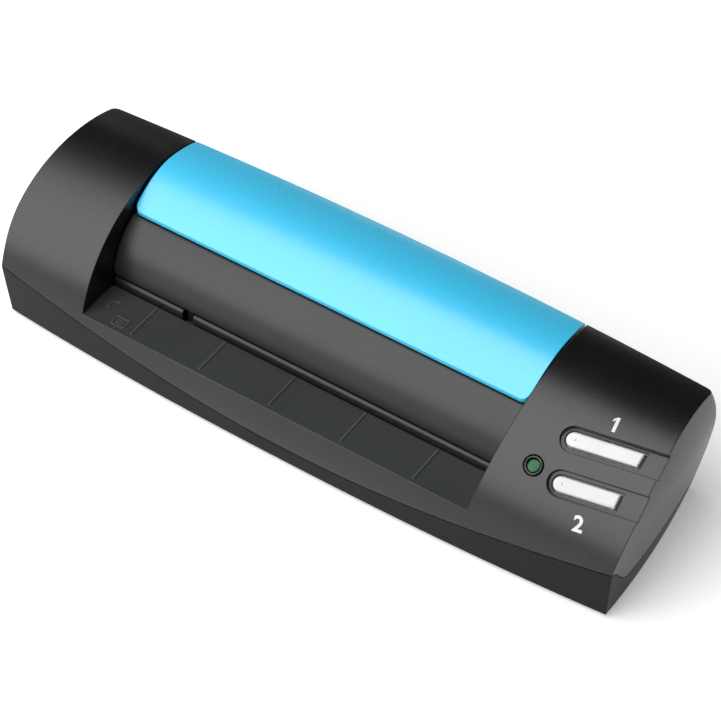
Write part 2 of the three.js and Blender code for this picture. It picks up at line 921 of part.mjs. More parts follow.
function upperGuide() {
  const outer = fasciaCurve(0).map((point) => [point.x, point.y]);
  const inner = fasciaCurve(fasciaThickness)
    .map((point) => [point.x, point.y])
    .filter((point) => point[1] > pathCeiling + fasciaThickness);
  const flangeEnd = fasciaFront + entryFlange;
  const outline = [
    ...outer,
    [fasciaTop + fasciaThickness, deckHeight],
    [deckBack, deckHeight],
    [deckBack, deckHeight - fasciaThickness],
    ...inner.reverse(),
    [flangeEnd, pathCeiling + fasciaThickness],
    [flangeEnd, pathCeiling],
  ];
  const plate = prismX(polygon(outline.reverse()), guideLeft - width, guideRight + width);
  const cheek = polygon([
    [cheekFront, cheekFoot], [cheekBack, cheekFoot], [cheekBack, deckHeight - fasciaThickness / 2],
    [fasciaTop, deckHeight - fasciaThickness / 2], [cheekFront, deckHeight - cheekSlope],
  ]);
  const leftCheek = prismX(cheek, guideLeft - width, cheekLeft);
  const rightCheek = prismX(cheek, cheekRight, guideRight + width);
  const space = well(
    clearance, -depth, depth, trayHeight, 2 * height,
  ).intersect(body(wall + clearance, 0).add(block(
    -width, width, -depth, 0, 0, 2 * height,
  )));
  let solid = plate.add(leftCheek).add(rightCheek).intersect(space);
  for (const y of [feedAxleY, exitAxleY]) {
    solid = solid.subtract(rodX(pinchAxleRadius + clearance, -width, width, y, pinchHeight, smallSegments));
  }
  return solid;
}

// The cover follows the arc of the top at the back and drops to a lip at the front
function coverOutline(inset) {
  const points = [];
  const back = backMid + overrun;
  for (let i = 0; i <= coverSteps; i += 1) {
    const y = back + (coverBlend - back) * (i / coverSteps);
    points.push([y, arcHeight(y, inset)]);
  }
  const start = new THREE.Vector2(coverBlend, arcHeight(coverBlend, inset));
  const brow = new THREE.Vector2(
    coverBlend - coverShoulder, arcHeight(coverBlend, inset) + coverShoulderRise,
  );
  const nose = new THREE.Vector2(coverLip + inset + coverBrow, coverLipHeight - inset + coverBrowRise);
  const lip = new THREE.Vector2(coverLip + inset, coverLipHeight - inset);
  for (const point of new THREE.CubicBezierCurve(start, brow, nose, lip).getPoints(coverSteps).slice(1)) {
    points.push([point.x, point.y]);
  }
  points.push([coverLip + inset, 0]);
  points.push([back, 0]);
  return polygon(points);
}

function topCover() {
  const outer = prismX(coverOutline(0), -width, width).intersect(body(0, footLift));
  const inner = prismX(coverOutline(coverWall), -width, width).intersect(body(coverWall, footLift));
  const space = well(coverGap, -depth, depth, trayHeight, 2 * height);
  const lipFoot = coverLipHeight - coverLipDrop;
  const cutBelow = polygon([
    [-depth, -overrun], [depth, -overrun], [depth, coverSkirt],
    [backMid / 2, coverSkirt], [backMid / 2, lipFoot], [-depth, lipFoot],
  ]);
  const rounded = prismZ(roundedPlan(), 0, 2 * height);
  return outer.subtract(inner).intersect(space).intersect(rounded).subtract(prismX(cutBelow, -width, width));
}

function roundedPlan() {
  const front = coverLip;
  const left = leftWallAt(coverLipHeight) + coverGap;
  const right = rightWallAt(front, coverLipHeight) - coverGap;
  const r = coverCorner;
  const shape = new THREE.Shape();
  shape.moveTo(left + r, front);
  shape.lineTo(right - r, front);
  shape.quadraticCurveTo(right, front, right, front + r);
  shape.lineTo(width, front + width);
  shape.lineTo(width, width);
  shape.lineTo(-width, width);
  shape.lineTo(-width, front + width);
  shape.lineTo(left, front + r);
  shape.quadraticCurveTo(left, front, left + r, front);
  return shape;
}

// Rollers, axles and bushes

function tyre(x, y) {
  return ringX(
    tyreRadius, axleRadius + clearance, x - tyreWidth / 2, x + tyreWidth / 2, y, axleHeight,
    tyreSegments,
  );
}

function axle(y) {
  return rodX(axleRadius, nearGearX - gearWidth, rightPlateX + plateThickness + axleStub, y, axleHeight);
}

function bush(plateX, y) {
  return ringX(
    bushRadius, axleRadius + clearance, plateX - bushProud, plateX + plateThickness + bushProud, y,
    axleHeight,
  );
}

function addRoller(name, y) {
  addPiece(`${name}_axle`, axle(y), steel);
  const [left, right] = tyreCentres();
  addPiece(`${name}_tyre_left`, tyre(left, y), rubber);
  addPiece(`${name}_tyre_right`, tyre(right, y), rubber);
  addPiece(`${name}_bush_left`, bush(leftPlateOuter, y).intersect(behindGears()), nylon);
  addPiece(`${name}_bush_right`, bush(rightPlateX, y), nylon);
}

function behindGears() {
  return block(leftPlateOuter, width, -depth, depth, -overrun, height);
}

function pinchAxle(y) {
  return rodX(
    pinchAxleRadius, guideLeft + pinchAxleInset, guideRight - pinchAxleInset, y, pinchHeight,
    smallSegments,
  );
}

function addPinch(name, y) {
  addPiece(`${name}_axle`, pinchAxle(y), steel);
  const [left, right] = tyreCentres();
  for (const [side, x] of [['left', left], ['right', right]]) {
    const start = x - pinchWidth / 2;
    const roller = ringX(pinchRadius, pinchAxleRadius + clearance, start, start + pinchWidth, y, pinchHeight);
    addPiece(`${name}_wheel_${side}`, roller, nylon);
  }
}

// Gears

function gearOutline(teeth, phase) {
  const pitchRadius = (teeth * gearModule) / 2;
  const tip = pitchRadius + gearModule * gearAddendumShare;
  const root = pitchRadius - gearModule * gearDedendumShare;
  const step = (2 * Math.PI) / teeth;
  const corners = [
    [root, -toothRootShare], [tip, -toothTipShare], [tip, toothTipShare], [root, toothRootShare],
  ];
  const points = [];
  for (let i = 0; i < teeth; i += 1) {
    const centre = phase + i * step;
    for (const [radius, share] of corners) {
      const angle = centre + (share * step) / 2;
      points.push([radius * Math.cos(angle), radius * Math.sin(angle)]);
    }
  }
  return points;
}

function gear(teeth, phase, place, startX, endX, boreRadius) {
  const points = gearOutline(teeth, phase).map(([y, z]) => [y + place[0], z + place[1]]);
  const bore = rodX(boreRadius, -width, width, place[0], place[1], smallSegments);
  return prismX(polygon(points), startX, endX).subtract(bore);
}

// The phase that sets a gear's gap against its driver's tooth
function meshedPhase(driverPhase, driverTeeth, teeth, driverPlace, place) {
  const direction = Math.atan2(place[1] - driverPlace[1], place[0] - driverPlace[0]);
  return direction + Math.PI + Math.PI / teeth + ((direction - driverPhase) * driverTeeth) / teeth;
}

function addGears() {
  const feed = [feedAxleY, axleHeight];
  const link = [linkY, axleHeight];
  const exit = [exitAxleY, axleHeight];
  const nearEnd = nearGearX - gearWidth;
  const farEnd = farGearX - gearWidth;
  const feedPhase = 0;
  const linkPhase = meshedPhase(feedPhase, rollerTeeth, linkTeeth, feed, link);
  const exitPhase = meshedPhase(linkPhase, linkTeeth, rollerTeeth, link, exit);
  const smallPhase = meshedPhase(feedPhase, rollerTeeth, compoundSmallTeeth, feed, compoundPlace);
  const pinionPhase = meshedPhase(smallPhase, compoundTeeth, pinionTeeth, compoundPlace, motorPlace);
  const pinBore = gearPinRadius + clearance;
  addPiece(
    'feed_gear', gear(rollerTeeth, feedPhase, feed, nearEnd, nearGearX, axleRadius + clearance),
    nylon,
  );
  addPiece(
    'exit_gear', gear(rollerTeeth, exitPhase, exit, nearEnd, nearGearX, axleRadius + clearance),
    nylon,
  );
  addPiece('link_gear', gear(linkTeeth, linkPhase, link, nearEnd, nearGearX, pinBore), nylon);
  const small = gear(
    compoundSmallTeeth, smallPhase, compoundPlace, farGearX - gearWidth / 2, nearGearX, pinBore,
  );
  const large = gear(compoundTeeth, smallPhase, compoundPlace, farEnd, farGearX, pinBore);
  addPiece('compound_gear', small.add(large), nylon);
  addPiece(
    'motor_pinion',
    gear(pinionTeeth, pinionPhase, motorPlace, farEnd, farGearX, motorShaftRadius + clearance),
    nylon,
  );
  const pinEnd = leftPlateX + pinStub;
  addPiece(
    'link_pin', rodX(gearPinRadius, nearEnd - clearance, pinEnd, link[0], link[1], smallSegments),
    steel,
  );
  addPiece(
    'compound_pin',
    rodX(
      gearPinRadius, bracketX - bracketThickness, pinEnd, compoundPlace[0], compoundPlace[1],
      smallSegments,
    ),
    steel,
  );
}

// Plates that carry the axles, the gear pins and the motor

function leftPlate() {
  const foot = baseFloor + plateStand;
  const top = compoundPlace[1] + plateMargin;
  const shoulder = axleHeight + bushRadius + clearance + plateThickness;
  const shape = polygon([
    [feedAxleY - bushRadius - plateMargin, foot], [exitAxleY + bushRadius + plateMargin, foot],
    [exitAxleY + bushRadius + plateMargin, shoulder - plateMargin], [exitAxleY + plateMargin, shoulder],
    [compoundPlace[0] + plateShoulder, shoulder], [compoundPlace[0] + plateMargin, top],
    [compoundPlace[0] - plateMargin, top], [feedAxleY - plateMargin, shoulder],
    [feedAxleY - bushRadius - plateMargin, shoulder - plateMargin],
  ]);
  let solid = prismX(shape, leftPlateOuter, leftPlateX);
  for (const y of [feedAxleY, exitAxleY]) {
    solid = solid.subtract(rodX(bushRadius + clearance, -width, width, y, axleHeight));
  }
  for (const [y, z] of [[linkY, axleHeight], compoundPlace]) {
    solid = solid.subtract(rodX(gearPinRadius + clearance, -width, width, y, z, smallSegments));
  }
  return solid;
}

function rightPlate() {
  const foot = baseFloor + plateStand;
  const shoulder = axleHeight + bushRadius + clearance + plateThickness;
  const dip = axleHeight - bushRadius / 2;
  const front = feedAxleY - bushRadius - plateMargin / 2;
  const back = exitAxleY + bushRadius + plateMargin / 2;
  const shape = polygon([
    [front, foot], [back, foot], [back, shoulder - plateMargin], [exitAxleY + plateMargin, shoulder],
    [exitAxleY - plateMargin, shoulder], [exitAxleY - plateDip, dip + plateMargin / 2],
    [feedAxleY + plateDip, dip + plateMargin / 2], [feedAxleY + plateMargin, shoulder],
    [feedAxleY - plateMargin, shoulder], [front, shoulder - plateMargin],
  ]);
  let solid = prismX(shape, rightPlateX, rightPlateX + plateThickness);
  for (const y of [feedAxleY, exitAxleY]) {
    solid = solid.subtract(rodX(bushRadius + clearance, -width, width, y, axleHeight));
  }
  return solid;
}

function motorBracket() {
  const foot = baseFloor + plateStand;
  const [pinY, pinZ] = compoundPlace;
  const [shaftY, shaftZ] = motorPlace;
  const rear = shaftY + motorEarReach + motorEarRadius;
  const shape = polygon([
    [pinY - bracketMargin, foot], [rear, foot], [rear, shaftZ + bracketMargin],
    [shaftY + bracketMargin, shaftZ + motorRadius], [pinY + bracketMargin, pinZ + bracketMargin],
    [pinY - bracketMargin, pinZ + bracketMargin],
  ]);
  let solid = prismX(shape, bracketX - bracketThickness, bracketX);
  solid = solid.subtract(rodX(gearPinRadius + clearance, -width, width, pinY, pinZ, smallSegments));
  return solid.subtract(rodX(motorBossRadius + clearance, -width, width, shaftY, shaftZ));
}

function motorBody() {
  const [y, z] = motorPlace;
  const profile = [
    [0, 0], [motorRadius - motorChamfer, 0], [motorRadius, motorChamfer],
    [motorRadius, motorLength - motorChamfer], [motorRadius - motorChamfer, motorLength],
    [motorBossRadius, motorLength], [
      motorBossRadius, motorLength + motorBossLength,
    ], [0, motorLength + motorBossLength],
  ].map(([radius, along]) => new THREE.Vector2(radius, along));
  const turned = new THREE.LatheGeometry(profile, tyreSegments);
  const place = new THREE.Matrix4().makeBasis(axis(0, 1, 0), axis(1, 0, 0), axis(0, 0, -1));
  place.setPosition(motorX - motorLength, y, z);
  let solid = moved(turned, place);
  const back = motorX - motorEarThickness;
  for (const side of [-1, 1]) {
    const earY = y + side * motorEarReach;
    const ear = rodX(motorEarRadius, back, motorX, earY, z, smallSegments);
    const from = Math.min(earY, y);
    const web = block(back, motorX, from, from + motorEarReach, z - motorEarRadius, z + motorEarRadius);
    solid = solid.add(ear).add(web);
  }
  return solid.subtract(rodX(
    motorShaftRadius + clearance, motorX - motorShaftDepth - clearance, width, y, z, smallSegments,
  ));
}

// Image sensor module, pressed down on the card by two springs

function sensorHousing() {
  const front = sensorCentreY - sensorHalfDepth;
  const back = sensorCentreY + sensorHalfDepth;
  const top = sensorFoot + sensorHeight;
  const shape = polygon([
    [front, sensorFoot + sensorChamfer], [front + sensorChamfer, sensorFoot],
    [back - sensorChamfer, sensorFoot],
    [back, sensorFoot + sensorChamfer], [back, top], [front, top],
  ]);
  const [left, right] = sensorEnds();
  const solid = prismX(shape, left, right);
  const pocketTop = sensorFoot + glassSink + clearance;
  return solid.subtract(block(
    left + glassEndInset - clearance, right - glassEndInset + clearance,
    front + glassInset - clearance, back - glassInset + clearance,
    0, pocketTop,
  ));
}

function sensorEnds() {
  return [cheekLeft + sensorEndGap, cheekRight - sensorEndGap];
}

function sensorGlass() {
  const [left, right] = sensorEnds();
  const inset = glassInset;
  const top = sensorFoot + glassSink;
  return block(
    left + glassEndInset, right - glassEndInset,
    sensorCentreY - sensorHalfDepth + inset, sensorCentreY + sensorHalfDepth - inset,
    top - glassThickness, top,
  );
}

function sensorBoard() {
  const [left, right] = sensorEnds();
  const foot = sensorFoot + sensorHeight + clearance;
  return block(
    left + sensorBoardEndInset, right - sensorBoardEndInset,
    sensorCentreY - sensorHalfDepth + sensorBoardInset, sensorCentreY + sensorHalfDepth - sensorBoardInset,
    foot, foot + sensorBoardThickness,
  );
}

class Helix extends THREE.Curve {
  constructor(radius, rise, turns) {
    super();
    this.radius = radius;
    this.rise = rise;
    this.turns = turns;
  }

  getPoint(t, target = new THREE.Vector3()) {
    const angle = 2 * Math.PI * this.turns * t;
    return target.set(this.radius * Math.cos(angle), this.radius * Math.sin(angle), this.rise * t);
  }
}

function wireSection() {
  const points = [];
  for (let i = 0; i < springSides; i += 1) {
    const angle = (2 * Math.PI * i) / springSides;
    points.push([(springWire / 2) * Math.cos(angle), (springWire / 2) * Math.sin(angle)]);
  }
  return polygon(points);
}

function sensorSpring(x) {
  const foot = sensorFoot + sensorHeight + clearance + springWire / 2;
  const top = deckHeight - fasciaThickness - clearance - springWire / 2;
  const path = new Helix(springRadius, top - foot, springTurns);
  const geometry = new THREE.ExtrudeGeometry(wireSection(), {
    steps: springTurns * springStepsPerTurn, bevelEnabled: false, extrudePath: path,
  });
  return moved(geometry, new THREE.Matrix4().makeTranslation(x, sensorCentreY, foot));
}

// Card flag

function cardFlag() {
  const y = flagPivotY;
  const z = flagPivotHeight;
  const half = flagWidth / 2;
  const hub = rodX(flagHubRadius, flagX - flagHubWidth / 2, flagX + flagHubWidth / 2, y, z);
  const arm = polygon([
    [y - flagArmBack, z], [y + flagArmThickness / 2, z],
    [y - flagArmBack + flagArmThickness, flagTip], [y - flagArmLean, flagTip],
  ]);
  const bladeHalf = flagBladeWidth / 2;
  const blade = polygon([
    [y - flagHubRadius / 2, z], [y - flagHubRadius / 2, flagBladeTip],
    [y + flagHubRadius / 2, flagBladeTip], [y + flagHubRadius / 2, z],
  ]);
  const bore = rodX(flagPinRadius + clearance, -width, width, y, z, smallSegments);
  return hub.add(prismX(arm, flagX - half, flagX + half)).add(prismX(
    blade, flagX - bladeHalf, flagX + bladeHalf,
  )).subtract(bore);
}

function flagPin() {
  const reach = flagHubWidth / 2 + clearance + flagEarThickness;
  return rodX(flagPinRadius, flagX - reach, flagX + reach, flagPivotY, flagPivotHeight, smallSegments);
}

function flagBoardTop() {
  return baseFloor + flagBoardStand + clearance + flagBoardThickness;
}

function flagBoard() {
  const half = flagBoardWidth / 2;
  const top = flagBoardTop();
  return block(
    flagX - half, flagX + half, flagPivotY - flagBoardDepth / 2, flagPivotY + flagBoardDepth / 2,
    top - flagBoardThickness, top,
  );
}

function lightBarrier() {
  const foot = flagBoardTop() + barrierStand;
  const half = barrierLength / 2;
  const front = flagPivotY - barrierDepth / 2;
  const solid = block(flagX - half, flagX + half, front, front + barrierDepth, foot, foot + barrierHeight);
  return solid.subtract(block(
    flagX - barrierSlot / 2, flagX + barrierSlot / 2, -depth, depth, foot + barrierFloor, height,
  ));
}

// Key field

function keyMatrix() {
  const up = axis(0, Math.cos(keyTilt), Math.sin(keyTilt));
  const out = axis(0, -Math.sin(keyTilt), Math.cos(keyTilt));
  const matrix = new THREE.Matrix4().makeBasis(axis(1, 0, 0), up, out);
  matrix.setPosition(keyFieldX, keyFieldY, keyFieldHeight);
  return matrix;
}

function keyPrism(shape, from, to) {
  const geometry = new THREE.ExtrudeGeometry(
    shape, { depth: to - from, bevelEnabled: false, curveSegments: keySegments },
  );
  geometry.translate(0, 0, from);
  return moved(geometry, keyMatrix());
}

function keyRod(radius, u, v, from, to, segments = smallSegments) {
  return keyPrism(new THREE.Shape().absarc(u, v, radius, 0, 2 * Math.PI), from, to);
}

// A bar with a round left tip and an upright right end, on the slanted centre line of its key
function barShape(key, half, end) {
  const slant = THREE.MathUtils.degToRad(keySlant);
  const slope = Math.tan(slant);
  const middle = (key.tip + key.end) / 2;
  const line = (x) => key.rise + (x - middle) * slope;
  const tip = key.tip + keyHalfWidth;
  const rise = half / Math.cos(slant);
  const shape = new THREE.Shape();
  shape.moveTo(end, line(end) - rise);
  shape.lineTo(end, line(end) + rise);
  shape.absarc(tip, line(tip), half, Math.PI / 2 + slant, (3 * Math.PI) / 2 + slant);
  return shape;
}

// The region between two depths under the top surface
function underTop(from, to) {
  const outer = new THREE.Shape().absarc(arcCentreY, topCentreHeight, topRadius - from, 0, 2 * Math.PI);
  const inner = new THREE.Shape().absarc(arcCentreY, topCentreHeight, topRadius - to, 0, 2 * Math.PI);
  return prismX(outer, 0, width, outerArcSegments).subtract(prismX(
    inner, -overrun, width + overrun, outerArcSegments,
  ));
}

function keyCutters() {
  const cutters = [];
  for (const key of [upperKey, lowerKey]) {
    const channel = keyPrism(barShape(key, channelHalfWidth, width), -overrun, overrun);
    cutters.push(channel.intersect(underTop(-overrun, channelDepth)));
    cutters.push(keyPrism(barShape(key, keyHalfWidth + keyGap, key.end + keyGap), -overrun, overrun));
  }
  cutters.push(keyRod(lampRingRadius + clearance, lampPlace, lampRise, -overrun, overrun));
  return cutters;
}

function keyCap(key) {
  const depthBelow = keyBody;
  const bar = keyPrism(
    barShape(key, keyHalfWidth, key.end), -overrun, overrun,
  ).intersect(underTop(keyDrop, depthBelow));
  const flangeTop = wall + clearance;
  const flange = keyPrism(barShape(key, keyHalfWidth + keyFlange, key.end + keyFlange), -overrun, overrun)
    .intersect(underTop(flangeTop, flangeTop + keyFlangeThickness));
  const [u, v] = switchPlace(key);
  const stem = keyRod(keyStemRadius, u, v, switchTop() + plungerRise, -wall);
  return bar.add(flange).add(stem);
}

function switchPlace(key) {
  return [(key.tip + key.end) / 2, key.rise];
}

function boardTop() {
  return -boardDepth + boardThickness;
}

function switchTop() {
  return boardTop() + clearance + switchHeight;
}

function squareShape(u, v, size) {
  const half = size / 2;
  return polygon([[u - half, v - half], [u + half, v - half], [u + half, v + half], [u - half, v + half]]);
}

function keySwitch(key) {
  const [u, v] = switchPlace(key);
  const foot = boardTop() + clearance;
  const solid = keyPrism(squareShape(u, v, switchSize), foot, switchTop());
  return solid.subtract(keyRod(plungerBore, u, v, switchTop() - plungerBoreDepth, height));
}

function plunger(key) {
  const [u, v] = switchPlace(key);
  const top = switchTop() + plungerRise - clearance;
  return keyRod(plungerRadius, u, v, switchTop() - keyTravel + clearance, top);
}

function keyBoard() {
  const shape = polygon([
    [keyBoardLeft, -keyBoardHalf], [keyBoardRight, -keyBoardHalf],
    [keyBoardRight, keyBoardHalf], [keyBoardLeft, keyBoardHalf],
  ]);
  return keyPrism(shape, -boardDepth, boardTop());
}

function boardPostPlaces() {
  const left = keyBoardLeft + boardPostInset;
  const right = keyBoardRight - boardPostInset;
  return [[left, keyBoardHalf - boardPostInset], [right, boardPostRise], [left, 0]];
}

function boardPosts() {
  return boardPostPlaces().map(([u, v]) => keyRod(boardPostRadius, u, v, boardTop() + clearance, -wall / 2));
}

function lampRing() {
  const outer = keyRod(lampRingRadius, lampPlace, lampRise, -lampRingLength, overrun);
  const inner = keyRod(lampRingRadius - lampRingWall, lampPlace, lampRise, -overrun, overrun);
  return outer.subtract(inner).intersect(underTop(-keyDrop, overrun));
}

function lampLens() {
  const rod = keyRod(
    lampRadius, lampPlace, lampRise, -lampPipe, overrun,
  ).intersect(underTop(keyDrop, overrun));
  const flange = keyRod(
    lampRadius + lampPipeFlange, lampPlace, lampRise, -lampPipe, -lampRingLength - clearance,
  );
  return rod.add(flange);
}

function lampBody() {
  const foot = boardTop() + clearance;
  const top = -lampPipe - clearance;
  const bodyTop = Math.min(foot + lampBodyHeight, top);
  return keyRod(lampRadius + lampFlange, lampPlace, lampRise, foot, bodyTop);
}

// Main board and cable inlet

function mainBoard() {
  const top = mainBoardHeight + mainBoardThickness;
  return block(mainBoardLeft, mainBoardRight, mainBoardFront, mainBoardBack, mainBoardHeight, top);
}

function inletFoot() {
  return mainBoardHeight + mainBoardThickness + clearance;
}

function inletBack() {
  const plan = planSizes(0);
  return rearY(plan, inletX) * taperY(inletFoot()) - inletRecess;
}

function cableInlet() {
  const foot = inletFoot();
  const top = foot + inletHeight;
  const back = inletBack();
  const half = inletWidth / 2;
  const middle = (foot + top) / 2;
  const left = inletX - half;
  const right = inletX + half;
  const shell = polygon([
    [left + inletChamfer, foot], [right - inletChamfer, foot], [right, foot + inletChamfer],
    [right, top], [left, top], [left, foot + inletChamfer],
  ]);
  const hollow = block(
    left + inletChamfer, right - inletChamfer, back - inletLength + inletBackWall, depth,
    foot + inletWall, top - inletWall,
  );
  const tongue = block(
    inletX - inletTongueWidth / 2, inletX + inletTongueWidth / 2,
    back - inletLength + inletWall, back - inletWall,
    middle - inletTongue / 2, middle + inletTongue / 2,
  );
  return prismY(shell, back - inletLength, back).subtract(hollow).add(tongue);
}

function plugSocket() {
  const foot = mainBoardHeight + mainBoardThickness + clearance;
  const left = mainBoardLeft + socketInset;
  const front = mainBoardFront + socketSetback;
  const solid = block(
    left, left + plugSocketWidth, front, front + plugSocketDepth, foot, foot + plugSocketHeight,
  );
  return solid.subtract(block(
    left + plugSocketWall, left + plugSocketWidth - plugSocketWall,
    front + plugSocketWall, front + plugSocketDepth - plugSocketWall, foot + plugSocketWall, height,
  ));
}

function motorShaft() {
  const [y, z] = motorPlace;
  return rodX(motorShaftRadius, motorX - motorShaftDepth, farGearX, y, z, smallSegments);
}

// Assembly

addPiece('base_shell', baseShell(), black);
addPiece('top_case', topCase(), black);
addPiece('top_cover', topCover(), blue);
addPiece('card_guide', cardGuide(), darkGrey);
addPiece('backing_strip', backingStrip(), white);
addPiece('upper_guide', upperGuide(), darkGrey);

addRoller('feed', feedAxleY);
addRoller('exit', exitAxleY);
addPinch('front_pinch', feedAxleY);
addPinch('rear_pinch', exitAxleY);

addPiece('left_plate', leftPlate(), steel);
addPiece('right_plate', rightPlate(), steel);
addPiece('motor_bracket', motorBracket(), steel);
addPiece('motor', motorBody(), steel);
addPiece('motor_shaft', motorShaft(), steel);
addGears();

addPiece('sensor_housing', sensorHousing(), black);
addPiece('sensor_glass', sensorGlass(), glassLook);
addPiece('sensor_board', sensorBoard(), boardGreen);
addPiece('sensor_spring_left', sensorSpring(sensorEnds()[0] + springInset), steel);
addPiece('sensor_spring_right', sensorSpring(sensorEnds()[1] - springInset), steel);

addPiece('card_flag', cardFlag(), nylon);
addPiece('flag_pin', flagPin(), steel);
addPiece('flag_board', flagBoard(), boardGreen);
addPiece('light_barrier', lightBarrier(), black);

for (const key of [upperKey, lowerKey]) {
  addPiece(key.name, keyCap(key), silver);
  addPiece(`${key.name}_plunger`, plunger(key), black);
  addPiece(`${key.name}_switch`, keySwitch(key), black);
}
addPiece('key_board', keyBoard(), boardGreen);
addPiece('lamp_ring', lampRing(), black);
addPiece('lamp_lens', lampLens(), lampGreen);
addPiece('lamp_body', lampBody(), white);

addPiece('main_board', mainBoard(), boardGreen);
addPiece('cable_inlet', cableInlet(), steel);
addPiece('ribbon_socket', plugSocket(), white);

for (const [index, [x, y]] of footPlaces().entries()) {
  addPiece(`foot_${index + 1}`, rodZ(footRadius, 0, footHeight, x, y, footSegments), rubber);
}

export default scanner;
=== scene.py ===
"""Looks of a desktop business card scanner, built around its packed CAD frame."""

import json
import math

import bmesh
import bpy
from bpy.props import FloatProperty, FloatVectorProperty, IntProperty, PointerProperty
from mathutils import Matrix, Vector
from mathutils.geometry import interpolate_bezier


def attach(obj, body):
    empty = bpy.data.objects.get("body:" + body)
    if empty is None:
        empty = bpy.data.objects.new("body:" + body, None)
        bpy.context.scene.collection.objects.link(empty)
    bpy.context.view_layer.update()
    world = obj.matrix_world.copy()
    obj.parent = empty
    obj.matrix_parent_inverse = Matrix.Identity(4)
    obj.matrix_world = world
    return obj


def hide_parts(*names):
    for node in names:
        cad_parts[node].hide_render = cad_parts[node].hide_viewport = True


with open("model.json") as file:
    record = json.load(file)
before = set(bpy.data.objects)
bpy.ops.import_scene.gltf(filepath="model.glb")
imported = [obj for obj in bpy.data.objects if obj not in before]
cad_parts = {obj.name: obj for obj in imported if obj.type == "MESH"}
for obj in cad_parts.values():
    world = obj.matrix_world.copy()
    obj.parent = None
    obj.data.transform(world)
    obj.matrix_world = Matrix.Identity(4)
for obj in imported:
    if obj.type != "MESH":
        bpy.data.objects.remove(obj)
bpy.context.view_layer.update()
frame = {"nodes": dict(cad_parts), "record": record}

bl_info = {
    "name": "Business card scanner",
    "version": (1, 0, 0),
    "blender": (4, 5, 0),
    "location": "View3D > Sidebar > Scanner",
    "description": "Builds the shell, cover, keys and small parts of a business card scanner",
    "category": "Object",
}

# Distances under which two points are one, and under which a point lies on a cutting plane
SAME_POINT = 1e-7
ON_PLANE = 1e-8

# X and Y of the stands under the main board and the flag's board, with the heights of their tops
MAIN_STANDS = ((0.0532, -0.0072), (0.0658, -0.005), (0.0532, 0.0138), (0.0658, 0.0138))
MAIN_STAND_TOP = 0.0063
FLAG_STANDS = ((-0.0393, -0.0088), (-0.0297, -0.0088))
FLAG_STAND_TOP = 0.0036

# Places of the posts under the key board, along and across the key field
KEY_BOARD_POSTS = ((-0.0123, 0.0064), (0.0058, 0.0007), (-0.0123, 0.0))

# Turns that draw an outline out along X or along Y in place of Z
ALONG_X = Matrix(((0, 0, 1, 0), (1, 0, 0, 0), (0, 1, 0, 0), (0, 0, 0, 1)))
ALONG_Y = Matrix(((1, 0, 0, 0), (0, 0, -1, 0), (0, 1, 0, 0), (0, 0, 0, 1)))


# Properties


def length(name, description, default):
    """A length property with its default in metres."""
    return FloatProperty(name=name, description=description, default=default, unit="LENGTH", precision=5)


def plain(name, description, default, unit="NONE"):
    """A number that isn't a length: a ratio, a lamp's power or a focal length."""
    return FloatProperty(name=name, description=description, default=default, unit=unit, precision=4)


def spot(name, description, default):
    """A place in X and Y, or in X, Y and Z, in metres."""
    size = len(default)
    return FloatVectorProperty(
        name=name, description=description, default=default, size=size, unit="LENGTH", precision=5,
    )


def count(name, description, default):
    """A number of steps or copies."""
    return IntProperty(name=name, description=description, default=default, min=1)


def angle(name, description, degrees):
    """An angle property with its default in degrees."""
    return FloatProperty(name=name, description=description, default=math.radians(degrees), subtype="ANGLE")


def colour(name, description, default):
    """A linear colour."""
    return FloatVectorProperty(name=name, description=description, default=default, size=3, subtype="COLOR")


class CaseForm(bpy.types.PropertyGroup):
    """The barrel form that the case, the base and the cover share."""

    width: length("Width", "Widest size along X", 0.155)
    depth: length("Depth", "Front to back in the middle", 0.0472)
    arc_radius: length("Top radius", "Radius of the arc of the top", 0.0312)
    arc_height: length("Arc centre height", "Height of the centre of the top's arc", 0.0022)
    foot_lift: length("Foot lift", "Height of the underside over the desk", 0.001)
    wall: length("Wall", "Thickness of the shells", 0.002)
    front_bow: length("Front bow", "How far the front bows out in the middle", 0.0029)
    front_bow_power: plain("Front bow power", "How late the front starts to curve back", 2.3)
    back_bow: length("Back bow", "How far the back bows out in the middle", 0.0035)
    end_radius: length("End radius", "Plan radius of the two ends", 0.2)
    end_setback: length("End setback", "How far in front of the middle the ends are widest", 0.006)
    corner: length("Rear corner", "Radius of the upright rear corners", 0.0015)
    widest_height: length("Widest height", "Height at which the walls stand furthest out", 0.023)
    taper_power: plain("Taper power", "Curve of the walls below the widest height", 1.3)
    low_taper_x: plain("Low end taper", "Share that the ends draw in at the foot", 0.0167)
    rear_taper_x: plain("Rear end taper", "Further share that they draw in at the back", 0.034)
    high_taper_x: plain("High end taper", "Share that the ends draw in at the top", 0.016)
    low_taper_y: plain("Low front taper", "Share that front and back draw in at the foot", 0.049)
    high_taper_y: plain("High back taper", "Share that the back draws in at the top", 0.133)
    crease_low: length("Crease height", "Height of the front crease in the middle", 0.0053)
    seam_height: length("Seam height", "Height of the level part of the seam", 0.0068)
    seam_sweep: length("Seam sweep", "Depth over which the seam falls from the corner", 0.009)
    parting: length("Parting gap", "Gap between the base and the case", 0.0002)
    clearance: length("Clearance", "Gap round fitted pieces", 0.0003)
    outline_steps: count("Outline steps", "Points along the front and the back", 56)
    corner_steps: count("Corner steps", "Points round a rear corner", 8)
    sweep_steps: count("Sweep steps", "Points along the falling part of the seam", 24)
    levels: count("Levels", "Rings from foot to top", 22)
    arc_steps: count("Arc steps", "Points round the whole top arc", 288)
    arc_thickness_steps: count("Inner arc steps", "Points round the inner arc", 96)


